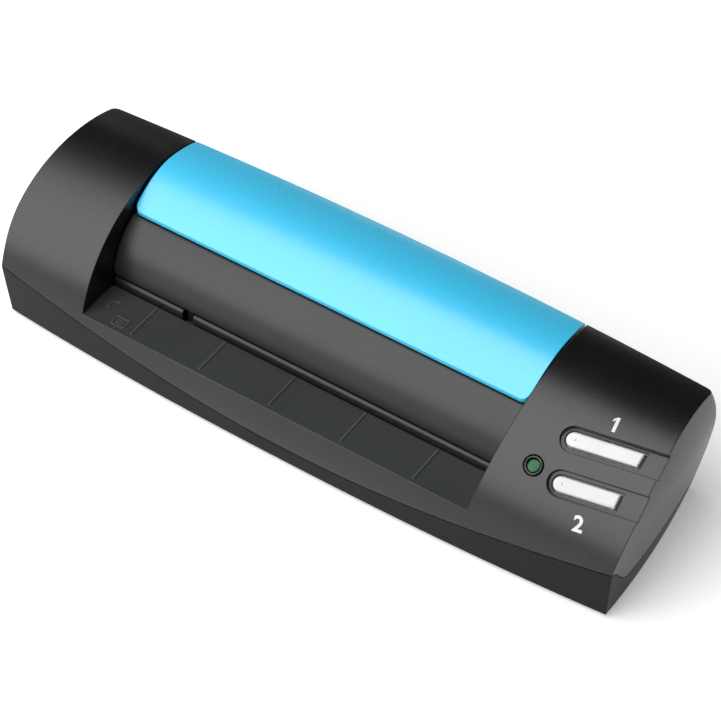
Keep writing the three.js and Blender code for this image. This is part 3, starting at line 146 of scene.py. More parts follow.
class RecessForm(bpy.types.PropertyGroup):
    """The feed recess with its tray, its ribs and the card path behind it."""

    left: length("Left wall", "Place of the left wall", -0.0542)
    right: length("Right wall", "Place of the right wall at the tray", 0.0433)
    left_draft: plain("Left draft", "Lean of the left wall", 0.02)
    right_draft: plain("Right draft", "Lean of the right wall", 0.16)
    right_toe: plain("Right toe-in", "How the right wall closes in towards the back", 0.045)
    wall: length("Side walls", "Thickness of the side walls", 0.0018)
    tray_height: length("Tray height", "Height of the tray", 0.0128)
    tray_thickness: length("Tray thickness", "Thickness of the tray", 0.0015)
    tray_back: length("Tray back", "Where the tray ends", -0.01115)
    wall_foot: length("Wall foot", "Where the side walls end below", 0.0126)
    rear_top: length("Rear wall top", "Top of the rear wall under the cover", 0.024)
    rib_count: count("Ribs", "Ribs on the tray", 5)
    rib_first: length("First rib", "First rib from the left wall", 0.0118)
    rib_pitch: length("Rib pitch", "From rib to rib", 0.0179)
    rib_width: length("Rib width", "Width of a rib", 0.0007)
    rib_height: length("Rib height", "Rise of a rib", 0.0003)
    rib_steps: count("Rib steps", "Points over the crown of a rib", 8)
    # Painted highlight: the share of a rib's rise above which its crown takes a paler grey
    rub_start: plain("Rub start", "Share of a rib's rise over which cards rub it", 1 / 3)
    rib_front: length("Rib front", "From the tray edge to the ribs", 0.001)
    rib_back: length("Rib back", "From the ribs to the end of the tray", 0.0003)
    path_floor: length("Path floor", "Height of the card path", 0.0149)
    path_height: length("Path height", "Clear height of the card path", 0.0012)
    exit_height: length("Exit height", "Height of the slot at the back", 0.0032)
    exit_margin: length("Exit margin", "From the side walls to the exit slot", 0.003)
    exit_drop: length("Exit drop", "How far the exit slot starts below the path", 0.0006)


class GuideForm(bpy.types.PropertyGroup):
    """The two card guides."""

    thickness: length("Thickness", "Thickness of the lower guide", 0.0016)
    lip: length("Lip", "Depth of the front lip below the guide", 0.0014)
    ridge: length("Ridge", "Radius of the entry ridge", 0.001)
    back: length("Back", "Where the guides end", 0.019)
    window: length("Window margin", "Gap round a tyre in the guide", 0.0006)
    notch_x: length("Notch place", "Middle of the gap for the card flag", -0.0345)
    notch_width: length("Notch width", "Width of that gap", 0.0028)
    notch_depth: length("Notch depth", "Depth of that gap", 0.0064)
    axle_height: length("Axle height", "Height of the driven axles", 0.01)
    front_axle: length("Front axle", "Place of the front axle", -0.0042)
    rear_axle: length("Rear axle", "Place of the rear axle", 0.0114)
    tyre_radius: length("Tyre radius", "Radius of a tyre", 0.0051)
    tyre_width: length("Tyre width", "Width of a tyre", 0.012)
    tyre_spread: length("Tyre spread", "From the middle of the recess to a tyre", 0.018)
    pocket_front: length("Pocket front", "Front of the backing strip's pocket", 0.0005)
    pocket_back: length("Pocket back", "Back of that pocket", 0.0069)
    pocket_depth: length("Pocket depth", "Depth of that pocket", 0.00085)
    pocket_inset: length("Pocket inset", "From the guide's ends to the pocket", 0.0037)
    slope_front: length("Slope front", "Foot of the slanted front", -0.0108)
    slope_top: length("Slope top", "Top of the slanted front", -0.0029)
    slope_height: length("Slope height", "Height of its top", 0.0269)
    slope_wall: length("Slope wall", "Thickness of the upper guide", 0.0014)
    slope_belly: plain("Slope belly", "How far the slope bellies out below", 0.08)
    slope_mid: plain("Slope middle", "Where the slope turns", 0.42)
    slope_mid_rise: plain("Slope middle rise", "How high it turns", 0.78)
    flange: length("Entry flange", "Depth of the flange over the slot", 0.0034)
    deck: length("Deck height", "Top of the upper guide", 0.0271)
    cheek_wall: length("Cheek wall", "Thickness of the left cheek", 0.0014)
    cheek_inset: length("Cheek inset", "From the right wall to the right cheek", 0.0032)
    cheek_front: length("Cheek front", "Front of the cheeks", -0.0074)
    cheek_back: length("Cheek back", "Back of the cheeks", 0.016)
    cheek_foot: length("Cheek foot", "Foot of the cheeks", 0.0166)
    cheek_shoulder: length("Cheek shoulder", "Where the front of the cheeks starts to slope", 0.0213)
    pinch_height: length("Pinch height", "Height of the pinch axles", 0.0184)
    pinch_bore: length("Pinch bore", "Radius of the bores for the pinch axles", 0.0013)
    flag_y: length("Flag pivot Y", "Place of the card flag's pivot", -0.0088)
    flag_z: length("Flag pivot Z", "Height of the card flag's pivot", 0.0095)
    flag_bore: length("Flag bore", "Radius of the bore for its pin", 0.0011)
    ear_inner: length("Ear gap", "From the flag's middle to an ear", 0.0018)
    ear_thickness: length("Ear thickness", "Thickness of an ear", 0.0012)
    ear_radius: length("Ear radius", "Radius of an ear", 0.0019)
    slope_steps: count("Slope steps", "Points on the slope", 40)


class CoverForm(bpy.types.PropertyGroup):
    """The blue cover."""

    wall: length("Wall", "Thickness of the cover", 0.0018)
    gap: length("Gap", "Gap to the side walls", 0.0005)
    blend: length("Blend", "Where the cover leaves the arc of the top", 0.0107)
    lip: length("Lip", "Front of the cover", -0.0026)
    lip_height: length("Lip height", "Height of the rolled lip", 0.0284)
    lip_drop: length("Lip drop", "Depth of the lip's front", 0.0009)
    skirt: length("Skirt", "Foot of the cover at the back", 0.0244)
    corner: length("Corner", "Radius of the front corners", 0.0016)
    shoulder: length("Shoulder", "Reach of the curve behind the lip", 0.005)
    shoulder_rise: length("Shoulder rise", "Rise of that curve", 0.00035)
    brow: length("Brow", "Reach of the curve at the lip", 0.004)
    brow_rise: length("Brow rise", "Rise of that curve", 0.0031)
    steps: count("Steps", "Points along each curve", 40)


class KeyForm(bpy.types.PropertyGroup):
    """The key field on the right shoulder."""

    field_x: length("Field X", "Middle of the field along X", 0.065)
    field_y: length("Field Y", "Middle of the field along Y", -0.01)
    slant: angle("Slant", "Turn of the keys from X", 8.5)
    half_width: length("Half width", "Half the width of a key", 0.00155)
    gap: length("Gap", "Gap round a key", 0.0004)
    channel_half: length("Channel half width", "Half the width of a channel", 0.00275)
    channel_depth: length("Channel depth", "Depth of a channel", 0.0008)
    drop: length("Drop", "How far the keys lie under the surface", 0.0001)
    crown: length("Crown", "Rounding of a key's top edge", 0.00045)
    body: length("Body", "Height of a key's body", 0.0034)
    flange: length("Flange", "Reach of the flange round a key", 0.0008)
    flange_depth: length("Flange depth", "Where the flange starts below the surface", 0.0023)
    flange_thickness: length("Flange thickness", "Thickness of the flange", 0.0008)
    stem_radius: length("Stem radius", "Radius of the stem", 0.0011)
    stem_foot: length("Stem foot", "Where the stem ends below the surface", 0.0048)
    tip_1: length("Tip 1", "Left tip of the upper key", 0.0564)
    end_1: length("End 1", "Right end of the upper key", 0.0722)
    rise_1: length("Rise 1", "Place of the upper key across the field", 0.00435)
    tip_2: length("Tip 2", "Left tip of the lower key", 0.0581)
    end_2: length("End 2", "Right end of the lower key", 0.0719)
    rise_2: length("Rise 2", "Place of the lower key across the field", -0.0048)
    dot: length("Dot", "Radius of the raised dot at a key's tip", 0.00022)
    dot_place: length("Dot place", "From the tip to the dot", 0.0019)
    lamp_x: length("Lamp X", "Place of the lamp along X", 0.0531)
    lamp_rise: length("Lamp rise", "Place of the lamp across the field", -0.0047)
    lamp_radius: length("Lamp radius", "Radius of the lens", 0.00135)
    lamp_dome: length("Lamp dome", "Rise of the lens's dome", 0.00025)
    lamp_flange: length("Lamp flange", "Reach of the flange at the foot of the lens", 0.0007)
    lamp_step: length("Lamp step", "Top of that flange below the surface", 0.0029)
    post_radius: length("Post radius", "Radius of the key board's posts", 0.0016)
    post_foot: length("Post foot", "Foot of those posts", -0.0083)
    lamp_pipe: length("Lamp pipe", "Where the lens ends below the surface", 0.0046)
    ring_radius: length("Ring radius", "Outer radius of the lamp's ring", 0.0019)
    ring_wall: length("Ring wall", "Wall of the ring", 0.00035)
    ring_length: length("Ring length", "Length of the ring", 0.0026)
    steps: count("Steps", "Points round a key's tip", 14)


class SmallForm(bpy.types.PropertyGroup):
    """Feet, screws, the cable inlet and the printed signs."""

    foot_radius: length("Foot radius", "Radius of a foot", 0.004)
    foot_height: length("Foot height", "Height of a foot", 0.0013)
    foot_pocket: length("Foot pocket", "Depth of a foot's pocket", 0.0006)
    foot_round: length("Foot rounding", "Rounding of a foot's lower edge", 0.0003)
    foot_steps: count("Foot steps", "Points over that rounding", 6)
    foot_dish: plain("Foot dish", "Share of a foot's radius that is dished", 0.55)
    foot_rim: plain("Foot rim", "Share of its radius at which the rim starts", 0.62)
    foot_x: length("Foot X", "Place of the feet along X", 0.058)
    foot_front: length("Front feet", "Place of the front feet", -0.014)
    foot_back: length("Rear feet", "Place of the rear feet", 0.013)
    screw_radius: length("Screw radius", "Radius of a screw's head", 0.0018)
    screw_head: length("Screw head", "Height of a screw's head", 0.0007)
    screw_steps: count("Screw steps", "Points over a screw's head", 8)
    screw_slot: length("Screw slot", "Width of the cross in a screw", 0.0004)
    screw_arm: plain("Screw arm", "Reach of the cross, as a share of the head's radius", 0.6)
    screw_deep: plain("Screw depth", "Depth of the cross, as a share of the head's height", 0.7)
    screw_sink: length("Screw sink", "Gap round a screw's head in its sink", 0.0002)
    hole_radius: length("Hole radius", "Radius of a screw hole", 0.0011)
    post_radius: length("Post radius", "Radius of a screw post", 0.0023)
    stand_radius: length("Stand radius", "Radius of a board stand", 0.0018)
    stand_gap: length("Stand gap", "Gap between the posts of base and case", 0.0004)
    rear_screw_left: length("Rear screw left", "Place of the left rear screw", -0.046)
    rear_screw_right: length("Rear screw right", "Place of the right rear screw", 0.036)
    rear_screw_y: length("Rear screw Y", "Place of the rear screws", 0.0186)
    left_screw: spot("Left screw", "Place of the left screw", (-0.069, -0.0123))
    right_screw: spot("Right screw", "Place of the right screw", (0.0715, 0.0065))
    inlet_x: length("Inlet X", "Place of the cable inlet", 0.063)
    inlet_foot: length("Inlet foot", "Foot of the inlet", 0.0081)
    inlet_width: length("Inlet width", "Width of the inlet", 0.0078)
    inlet_height: length("Inlet height", "Height of the inlet", 0.004)
    inlet_gap: length("Inlet gap", "Gap round the inlet", 0.0004)
    inlet_back: length("Inlet back", "Where the inlet ends at the back", 0.01996)
    inlet_length: length("Inlet length", "Length of the inlet", 0.008)
    inlet_wall: length("Inlet wall", "Wall of the inlet", 0.0005)
    tongue: length("Tongue", "Thickness of the inlet's tongue", 0.0008)
    tongue_width: length("Tongue width", "Width of that tongue", 0.004)
    contact_count: count("Contacts", "Contacts in the inlet", 5)
    sign_rise: length("Sign rise", "Thickness of a printed sign", 0.00002)
    sign_strips: count("Sign strips", "Strips of a bent sign", 24)
    mark_line: length("Mark line", "Width of a raised line", 0.00035)
    numeral_size: length("Numeral size", "Height of the numerals", 0.0046)
    numeral_bold: length("Numeral bold", "How far the numerals are thickened", 0.00012)
    flag_reach: plain("Flag reach", "Reach of the flag of the 1, as a share of the numeral's size", 0.13)
    numeral_1: spot("Numeral 1", "Place of the upper numeral", (0.0640, -0.0012))
    numeral_2: spot("Numeral 2", "Place of the lower numeral", (0.0664, -0.0181))
    mark_rise: length("Mark rise", "Rise of the marks on the tray", 0.0002)
    card_mark: spot("Card mark", "Place of the card on the tray", (-0.046, -0.0193))
    card_mark_width: length("Card width", "Width of that card", 0.0035)
    card_mark_depth: length("Card depth", "Depth of that card", 0.0027)
    arrow_mark: spot("Arrow mark", "Place of the arrow on the tray", (-0.050, -0.0161))
    arrow_radius: length("Arrow radius", "Radius of the arrow's bend", 0.0013)
    arrow_start: angle("Arrow start", "Where the arrow's bend starts", 250)
    arrow_end: angle("Arrow end", "Where the bend meets the tip", 95)
    arrow_steps: count("Arrow steps", "Points along the bend", 20)
    segments: count("Segments", "Points round small round pieces", 48)


class StageForm(bpy.types.PropertyGroup):
    """Camera, lamps and backdrop."""

    camera: spot("Camera", "Place of the camera", (0.24884, -0.36042, 0.47291))
    azimuth: angle("Azimuth", "Turn of the camera round the object", 34.36)
    elevation: angle("Elevation", "Angle of the camera above the horizon", 46.48)
    lens: plain("Lens", "Focal length in millimetres", 151.34, "CAMERA")
    box_place: spot("Softbox", "Place of the large softbox", (-0.30, -0.50, 0.81))
    box_turn: angle("Softbox turn", "Turn of the softbox about the line to the object", -31)
    box_across: length("Softbox width", "Width of the softbox", 0.95)
    box_along: length("Softbox length", "Length of the softbox", 2.1)
    box_power: plain("Softbox power", "Power of the large softbox", 20.0, "POWER")
    low_place: spot("Low lamp", "Place of the weak low lamp behind", (-0.66, 0.74, 0.07))
    low_across: length("Low lamp width", "Width of the low lamp", 0.9)
    low_along: length("Low lamp height", "Height of the low lamp", 0.14)
    low_power: plain("Low lamp power", "Power of the low lamp", 0.3, "POWER")
    room: colour("Room", "Even light of the room", (0.03, 0.03, 0.03))
    floor: colour("Floor", "Pale floor", (0.90, 0.90, 0.90))
    floor_reach: length("Floor reach", "From the middle of the floor to its edges", 1.5)
    floor_glow: plain("Floor glow", "How far the floor is lifted to white", 0.33)


class Finishes(bpy.types.PropertyGroup):
    """Base colours of the visible finishes."""

    black: colour("Black", "Moulded black plastic", (0.0034, 0.0038, 0.0042))
    tray: colour("Tray", "Grained tray of the recess", (0.022, 0.025, 0.027))
    # Painted highlight: a paler grey painted on the crowns of the ribs and on the raised marks of the tray
    rub: colour("Rub", "Crowns of the ribs and marks, rubbed paler", (0.058, 0.062, 0.064))
    grey: colour("Grey", "Dark grey guides", (0.0105, 0.0115, 0.0125))
    blue: colour("Blue", "Cover", (0.065, 0.63, 0.98))
    key: colour("Key", "Key caps", (0.72, 0.73, 0.74))
    lamp: colour("Lamp", "Lamp lens", (0.018, 0.14, 0.045))
    sign: colour("Sign", "Printed numerals", (0.85, 0.86, 0.86))
    rubber: colour("Rubber", "Feet and tyres", (0.018, 0.018, 0.019))
    nylon: colour("Nylon", "Gears and bushes", (0.72, 0.69, 0.60))
    # Near-black card flag, which darkens the notch in the ridge where it stands
    acetal: colour("Acetal", "Card flag", (0.006, 0.006, 0.007))
    resin: colour("Resin", "White parts inside", (0.80, 0.80, 0.77))


GROUPS = {
    "scanner_case": CaseForm,
    "scanner_recess": RecessForm,
    "scanner_guide": GuideForm,
    "scanner_cover": CoverForm,
    "scanner_keys": KeyForm,
    "scanner_small": SmallForm,
    "scanner_stage": StageForm,
    "scanner_finish": Finishes,
}


# Mesh helpers


def new_object(name, bm):
    """Puts a bmesh into the scene as an object at the origin."""
    bmesh.ops.triangulate(bm, faces=bm.faces)
    bmesh.ops.recalc_face_normals(bm, faces=bm.faces)
    mesh = bpy.data.meshes.new(name)
    bm.to_mesh(mesh)
    bm.free()
    piece = bpy.data.objects.new(name, mesh)
    bpy.context.scene.collection.objects.link(piece)
    return piece


def drop(piece):
    """Takes a helper object and its mesh out of the file."""
    mesh = piece.data
    bpy.data.objects.remove(piece)
    bpy.data.meshes.remove(mesh)


def split_to_triangles(mesh):
    """Keeps the faces simple, so that the next cut stays quick."""
    bm = bmesh.new()
    bm.from_mesh(mesh)
    bmesh.ops.triangulate(bm, faces=bm.faces)
    bm.to_mesh(mesh)
    bm.free()


def copy_of(piece):
    """A second object with a mesh of its own."""
    twin = piece.copy()
    twin.data = piece.data.copy()
    bpy.context.scene.collection.objects.link(twin)
    return twin


def renamed(piece, name):
    """The piece with its final name."""
    piece.name = name
    piece.data.name = name
    return piece


def combine(target, tool, operation):
    """Joins, cuts or intersects two closed solids and drops the tool."""
    modifier = target.modifiers.new("combine", "BOOLEAN")
    modifier.solver = "MANIFOLD"
    modifier.operation = operation
    modifier.object = tool
    graph = bpy.context.evaluated_depsgraph_get()
    result = bpy.data.meshes.new_from_object(target.evaluated_get(graph))
    if not result.polygons:
        raise RuntimeError(f"{target.name}: the {operation} with {tool.name} left nothing")
    split_to_triangles(result)
    old = target.data
    target.modifiers.clear()
    target.data = result
    bpy.data.meshes.remove(old)
    result.name = target.name
    drop(tool)
    return target


def cut_away(target, tools):
    """Cuts each of some closed solids out of a solid."""
    for tool in tools:
        combine(target, tool, "DIFFERENCE")
    return target


def prism(name, outline, start, end, place=Matrix()):
    """A flat outline drawn out along its own Z, then set in place."""
    rings = [[(x, y, z) for x, y in outline] for z in (start, end)]
    return loft(name, rings, place)


def prism_x(name, outline, start, end):
    """An outline in Y and Z drawn out along X."""
    return prism(name, outline, start, end, ALONG_X)


def prism_y(name, outline, start, end):
    """An outline in X and Z drawn out along Y."""
    return prism(name, outline, -end, -start, ALONG_Y)


def loft(name, rings, place=Matrix()):
    """Rings of equally many points, each pulled out of the one before it into one closed body."""
    bm = bmesh.new()
    face = bm.faces.new([bm.verts.new(point) for point in rings[0]])
    for number, ring in enumerate(rings[1:]):
        made = bmesh.ops.extrude_face_region(bm, geom=[face])["geom"]
        if number > 0:
            bmesh.ops.delete(bm, geom=[face], context="FACES_ONLY")
        face = next(item for item in made if isinstance(item, bmesh.types.BMFace))
        for vert, point in zip(face.verts, ring):
            vert.co = point
    bm.transform(place)
    return new_object(name, bm)


def across(name, outline, case):
    """An outline in Y and Z drawn out past both ends of the case."""
    return prism_x(name, outline, -case.width, case.width)


def block(name, x0, x1, y0, y1, z0, z1):
    """A box between two corners."""
    return prism(name, [(x0, y0), (x1, y0), (x1, y1), (x0, y1)], z0, z1)


def turned(name, profile, steps, place=Matrix()):
    """A closed profile of radius and height turned about Z, then set in place."""
    bm = bmesh.new()
    verts = [bm.verts.new((radius, 0, height)) for radius, height in profile]
    edges = [bm.edges.new(pair) for pair in zip(verts, verts[1:])]
    bmesh.ops.spin(
        bm, geom=verts + edges, cent=(0, 0, 0), axis=(0, 0, 1), angle=2 * math.pi, steps=steps, use_merge=True,
    )
    bmesh.ops.remove_doubles(bm, verts=bm.verts, dist=SAME_POINT)
    bm.transform(place)
    return new_object(name, bm)


def arc(centre_x, centre_y, radius, start, end, steps):
    """Points on an arc, both ends included."""
    points = []
    for i in range(steps + 1):
        turn = start + (end - start) * i / steps
        points.append((centre_x + radius * math.cos(turn), centre_y + radius * math.sin(turn)))
    return points


def circle(centre_x, centre_y, radius, steps):
    """Points round a circle, the first not repeated."""
    return arc(centre_x, centre_y, radius, 0, 2 * math.pi, steps)[:-1]


def curve(points, steps):
    """Points on the cubic curve of four control points."""
    flat = [Vector((x, y, 0)) for x, y in points]
    return [(point.x, point.y) for point in interpolate_bezier(*flat, steps + 1)]


def coat(piece, material):
    """Gives a piece one material all over."""
    piece.data.materials.clear()
    piece.data.materials.append(material)


def smooth(piece, degrees=28.0):
    """Smooth shading with sharp edges kept above an angle."""
    piece.data.shade_smooth()
    piece.data.set_sharp_from_angle(angle=math.radians(degrees))


def hand_in(forms, piece, name, body, nodes=()):
    """Gives a finished piece smooth shading, the look of that name and its carrier, and hides the CAD nodes it
    takes the place of.
    """
    smooth(piece)
    coat(piece, look(forms.scanner_finish, name))
    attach(piece, body)
    for node in nodes:
        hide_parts(node)
    return piece


# The barrel form


def case_height(form):
    """Height of the case over the desk."""
    return form.arc_height + form.arc_radius


def arc_centre(form):
    """Place of the centre of the top's arc along Y."""
    rise = form.crease_low - form.arc_height
    return -form.depth / 2 + math.sqrt(form.arc_radius**2 - rise**2)


def top_at(form, y, inset=0.0):
    """Height of the top at a place along Y."""
    return form.arc_height + math.sqrt((form.arc_radius - inset) ** 2 - (arc_centre(form) - y) ** 2)


def below(form, z):
    """How far a height lies below the widest one: 0 there, 1 at the foot."""
    rise = (form.widest_height - z) / (form.widest_height - form.foot_lift)
    return max(0.0, rise) ** form.taper_power


def above(form, z):
    """How far a height lies above the widest one: 0 there, 1 at the top."""
    rise = (z - form.widest_height) / (case_height(form) - form.widest_height)
    return max(0.0, rise) ** 2


def taper_x(form, y, z):
    """How much the ends draw in at a place and a height."""
    low = form.low_taper_x + form.rear_taper_x * (y / form.depth + 0.5)
    return 1 - low * below(form, z) - form.high_taper_x * above(form, z)


def taper_y(form, z):
    """How much the front and the back draw in at a height."""
    return 1 - form.low_taper_y * below(form, z) - form.high_taper_y * above(form, z)


class Plan:
    """The plan outline at the widest height, drawn in by an inset."""

    def __init__(self, form, inset):
        self.form = form
        self.inset = inset
        self.front = -form.depth / 2 / taper_y(form, form.crease_low) + inset
        self.front_corner = self.front + form.front_bow
        self.back_corner = form.depth / 2 - inset - form.back_bow
        self.front_x = self.end_x(self.front_corner)
        self.back_x = self.end_x(self.back_corner)

    def end_x(self, y):
        """Reach of the bowed end at a place along Y."""
        half = self.form.width / 2 - self.inset
        return half - (y + self.form.end_setback) ** 2 / (2 * self.form.end_radius)

    def front_y(self, x):
        """Place of the bowed front at a place along X."""
        return self.front + self.form.front_bow * abs(x / self.front_x) ** self.form.front_bow_power

    def back_y(self, x):
        """Place of the bowed back at a place along X."""
        return self.back_corner + self.form.back_bow * (1 - (x / self.back_x) ** 2)

    def outline(self):
        """The whole outline, from the front left corner on."""
        steps = self.form.outline_steps
        radius = self.form.corner
        points = []
        for i in range(steps + 1):
            x = self.front_x * (2 * i / steps - 1)
            points.append((x, self.front_y(x)))
        right = []
        end_top = self.back_corner - radius
        for i in range(1, steps // 2 + 1):
            y = self.front_corner + (end_top - self.front_corner) * i / (steps // 2)
            right.append((self.end_x(y), y))
        reach = self.back_x - radius
        start = Vector((self.end_x(end_top), end_top))
        bend = Vector((self.back_x, self.back_corner))
        stop = Vector((reach, self.back_y(reach)))
        for i in range(1, self.form.corner_steps + 1):
            t = i / self.form.corner_steps
            point = start * (1 - t) ** 2 + bend * 2 * t * (1 - t) + stop * t**2
            right.append((point.x, point.y))
        rear = []
        for i in range(1, steps):
            x = reach * (1 - 2 * i / steps)
            rear.append((x, self.back_y(x)))
        left = [(-x, y) for x, y in reversed(right)]
        return points + right + rear + left


def barrel(form, inset, floor):
    """The closed barrel body, drawn in by an inset and cut off at a floor."""
    outline = Plan(form, inset).outline()
    rings = []
    over_top = case_height(form) * 1.03
    for i in range(form.levels + 1):
        z = form.foot_lift + (over_top - form.foot_lift) * i / form.levels
        rings.append([(x * taper_x(form, y, z), y * taper_y(form, z), z) for x, y in outline])
    body = loft("barrel", rings)
    steps = form.arc_thickness_steps if inset > 0 else form.arc_steps
    disc = circle(arc_centre(form), form.arc_height, form.arc_radius - inset, steps)
    combine(body, across("arc", disc, form), "INTERSECT")
    keep = block("keep", -form.width, form.width, -form.depth, form.depth, floor, form.width)
    return combine(body, keep, "INTERSECT")


def crease_at(form, x):
    """Height at which the bowed front meets the arc of the top."""
    plan = Plan(form, 0.0)
    low, high = form.arc_height, form.widest_height
    halvings = 24
    for _ in range(halvings):
        z = (low + high) / 2
        arc_y = arc_centre(form) - math.sqrt(form.arc_radius**2 - (z - form.arc_height) ** 2)
        if arc_y < plan.front_y(x) * taper_y(form, z):
            low = z
        else:
            high = z
    return low


def below_parting(form, gap):
    """Everything below the parting line, raised by a gap."""
    plan = Plan(form, 0.0)
    reach = form.width
    steps = form.outline_steps
    smile = []
    for i in range(steps + 1):
        x = plan.front_x * (1 - 2 * i / steps)
        smile.append((x, crease_at(form, x) + gap))
    corner = smile[0][1]
    foot = -form.depth
    front = [(-reach, foot), (reach, foot), (reach, corner), *smile, (-reach, corner)]
    level = form.seam_height + gap
    start = plan.front_corner
    sweep = curve(
        [
            (start + form.seam_sweep, level),
            (start + form.seam_sweep / 2, level),
            (start + form.seam_sweep / 3, corner),
            (start, corner),
        ],
        form.sweep_steps,
    )
    side = [(-form.depth, foot), (form.depth, foot), (form.depth, level), *sweep, (-form.depth, corner)]
    solid = prism_y("smile", front, -form.depth, form.depth)
    return combine(solid, prism_x("sweep", side, -reach, reach), "INTERSECT")


# The recess


def left_wall(recess, z):
    """Place of the left wall of the recess at a height."""
    return recess.left - recess.left_draft * (z - recess.tray_height)


def right_wall(form, recess, y, z):
    """Place of its right wall, which leans and closes in towards the back."""
    lean = recess.right_draft * (z - recess.tray_height)
    return recess.right + lean - recess.right_toe * (y + form.depth / 2)


def well(form, recess, gap, y0, y1, z0, z1):
    """The tapering well of the recess, drawn in by a gap on both sides."""
    rings = []
    for z in (z0, z1):
        left = left_wall(recess, z) + gap
        rings.append([
            (left, y0, z),
            (right_wall(form, recess, y0, z) - gap, y0, z),
            (right_wall(form, recess, y1, z) - gap, y1, z),
            (left, y1, z),
        ])
    return loft("well", rings)


# The black case and the base


def post(name, radius, x, y, foot, top, steps):
    """An upright round post."""
    return prism(name, circle(x, y, radius, steps), foot, top)


def case_mouth(case, recess, small, inner):
    """The hollow of the recess and of the bay behind it, with the ribs and the posts left standing."""
    high, wide = 2 * case_height(case), case.width
    outline = [
        (-case.depth, recess.tray_height), (0, recess.tray_height), (0, recess.rear_top),
        (case.depth, recess.rear_top), (case.depth, high), (-case.depth, high),
    ]
    mouth = across("mouth", outline, case)
    bay = block("bay", -wide, wide, recess.tray_back, case.depth, -case.depth, high)
    combine(mouth, combine(bay, copy_of(inner), "INTERSECT"), "UNION")
    sides = well(case, recess, 0, -2 * case.depth, 2 * case.depth, -case.depth, 2 * high)
    combine(mouth, sides, "INTERSECT")
    return cut_away(mouth, case_ribs(case, recess) + rear_posts(case, recess, small))


def case_room(forms, inner):
    """The hollow round the recess, less the side walls, the tray and the posts."""
    case, recess, small = forms.scanner_case, forms.scanner_recess, forms.scanner_small
    high = 2 * case_height(case)
    tray_foot = recess.tray_height - recess.tray_thickness
    standing = [
        well(case, recess, -recess.wall, -case.depth, case.depth, recess.wall_foot, high),
        well(case, recess, -recess.wall / 2, -case.depth, recess.tray_back, tray_foot, high),
    ]
    for x, y in side_screws(small):
        top = top_at(case, y, case.wall) + case.wall / 2
        standing.append(post("post", small.post_radius, x, y, case.seam_height, top, small.segments))
    return cut_away(inner, standing + board_posts(forms))


def rear_posts(case, recess, small):
    """The posts for the two rear screws, which hang under the bay."""
    return [
        post("post", small.post_radius, x, y, case.seam_height, recess.wall_foot, small.segments)
        for x, y in rear_screws(small)
    ]


def case_ribs(case, recess):
    """The ribs that run back along the tray."""
    plan = Plan(case, 0.0)
    arc_front = arc_centre(case) - math.sqrt(case.arc_radius**2 - (recess.tray_height - case.arc_height) ** 2)
    front = max(arc_front, plan.front) + recess.rib_front
    back = recess.tray_back - recess.rib_back
    foot = recess.tray_height - recess.tray_thickness
    ribs = []
    for i in range(recess.rib_count):
        x = recess.left + recess.rib_first + recess.rib_pitch * i
        half = recess.rib_width / 2
        crown = [(x + half + px, recess.tray_height + pz) for px, pz in rib_crown(recess)]
        ribs.append(prism_y("rib", [(x, foot), (x + recess.rib_width, foot), *crown], front, back))
    return ribs


def rib_crown(recess):
    """The rounded top of a rib, from right to left."""
    half, rise = recess.rib_width / 2, recess.rib_height
    return [(px * half, pz * rise) for px, pz in arc(0, 0, 1, 0, math.pi, recess.rib_steps)]


def exit_slot(case, recess):
    """Cutter for the slot at the back, where the card comes out."""
    foot = recess.path_floor - recess.exit_drop
    left = recess.left + recess.exit_margin
    return block("slot", left, recess.right - recess.exit_margin, 0, case.depth, foot, foot + recess.exit_height)


def inlet_hole(case, small):
    """Cutter for the hole round the cable inlet."""
    half = small.inlet_width / 2 + small.inlet_gap
    foot = small.inlet_foot - small.inlet_gap
    top = foot + small.inlet_height + 2 * small.inlet_gap
    return block("inlet_hole", small.inlet_x - half, small.inlet_x + half, case.depth / 4, case.depth, foot, top)


def side_screws(small):
    """Places of the two screws under the shoulders."""
    return [tuple(small.left_screw), tuple(small.right_screw)]


def rear_screws(small):
    """Places of the two screws behind the card path."""
    return [(small.rear_screw_left, small.rear_screw_y), (small.rear_screw_right, small.rear_screw_y)]


def screw_holes(case, recess, small):
    """Cutters for the four screws that hold the base to the case."""
    holes = []
    deep = case.seam_height + case.seam_sweep / 2
    for x, y in side_screws(small):
        holes.append(post("hole", small.hole_radius, x, y, -case.wall, deep, small.segments))
    for x, y in rear_screws(small):
        top = recess.wall_foot - case.wall
        holes.append(post("hole", small.hole_radius, x, y, -case.wall, top, small.segments))
    return holes


def build_top_case(forms):
    """The barrel shell with its recess, tray, ribs, key channels and slots."""
    case, recess, small = forms.scanner_case, forms.scanner_recess, forms.scanner_small
    solid = barrel(case, 0.0, case.foot_lift)
    inner = barrel(case, case.wall, -case.width)
    mouth = case_mouth(case, recess, small, inner)
    cuts = [case_room(forms, inner), mouth, exit_slot(case, recess), inlet_hole(case, small)]
    cuts += key_cutters(forms) + screw_holes(case, recess, small) + [below_parting(case, case.parting)]
    return renamed(cut_away(solid, cuts), "case_top")


def mark_tray(forms, piece):
    """Gives the tray its coarser grain, and paints a highlight in a paler grey on the crowns of its ribs."""
    case, recess = forms.scanner_case, forms.scanner_recess
    play = recess.rib_height
    for name in ("tray_grain", "tray_rub"):
        piece.data.materials.append(look(forms.scanner_finish, name))
    # Rib faces above this height take the painted highlight
    highlighted = recess.tray_height + play * recess.rub_start
    for face in piece.data.polygons:
        x, y, z = face.center
        level = y < 0 and recess.tray_height - play < z < recess.tray_height + 2 * play
        if level and left_wall(recess, z) + play < x < right_wall(case, recess, y, z) - play:
            face.material_index = 2 if z > highlighted else 1


def foot_places(small):
    """Places of the four feet, the front ones first."""
    return [(x, y) for y in (small.foot_front, small.foot_back) for x in (-small.foot_x, small.foot_x)]


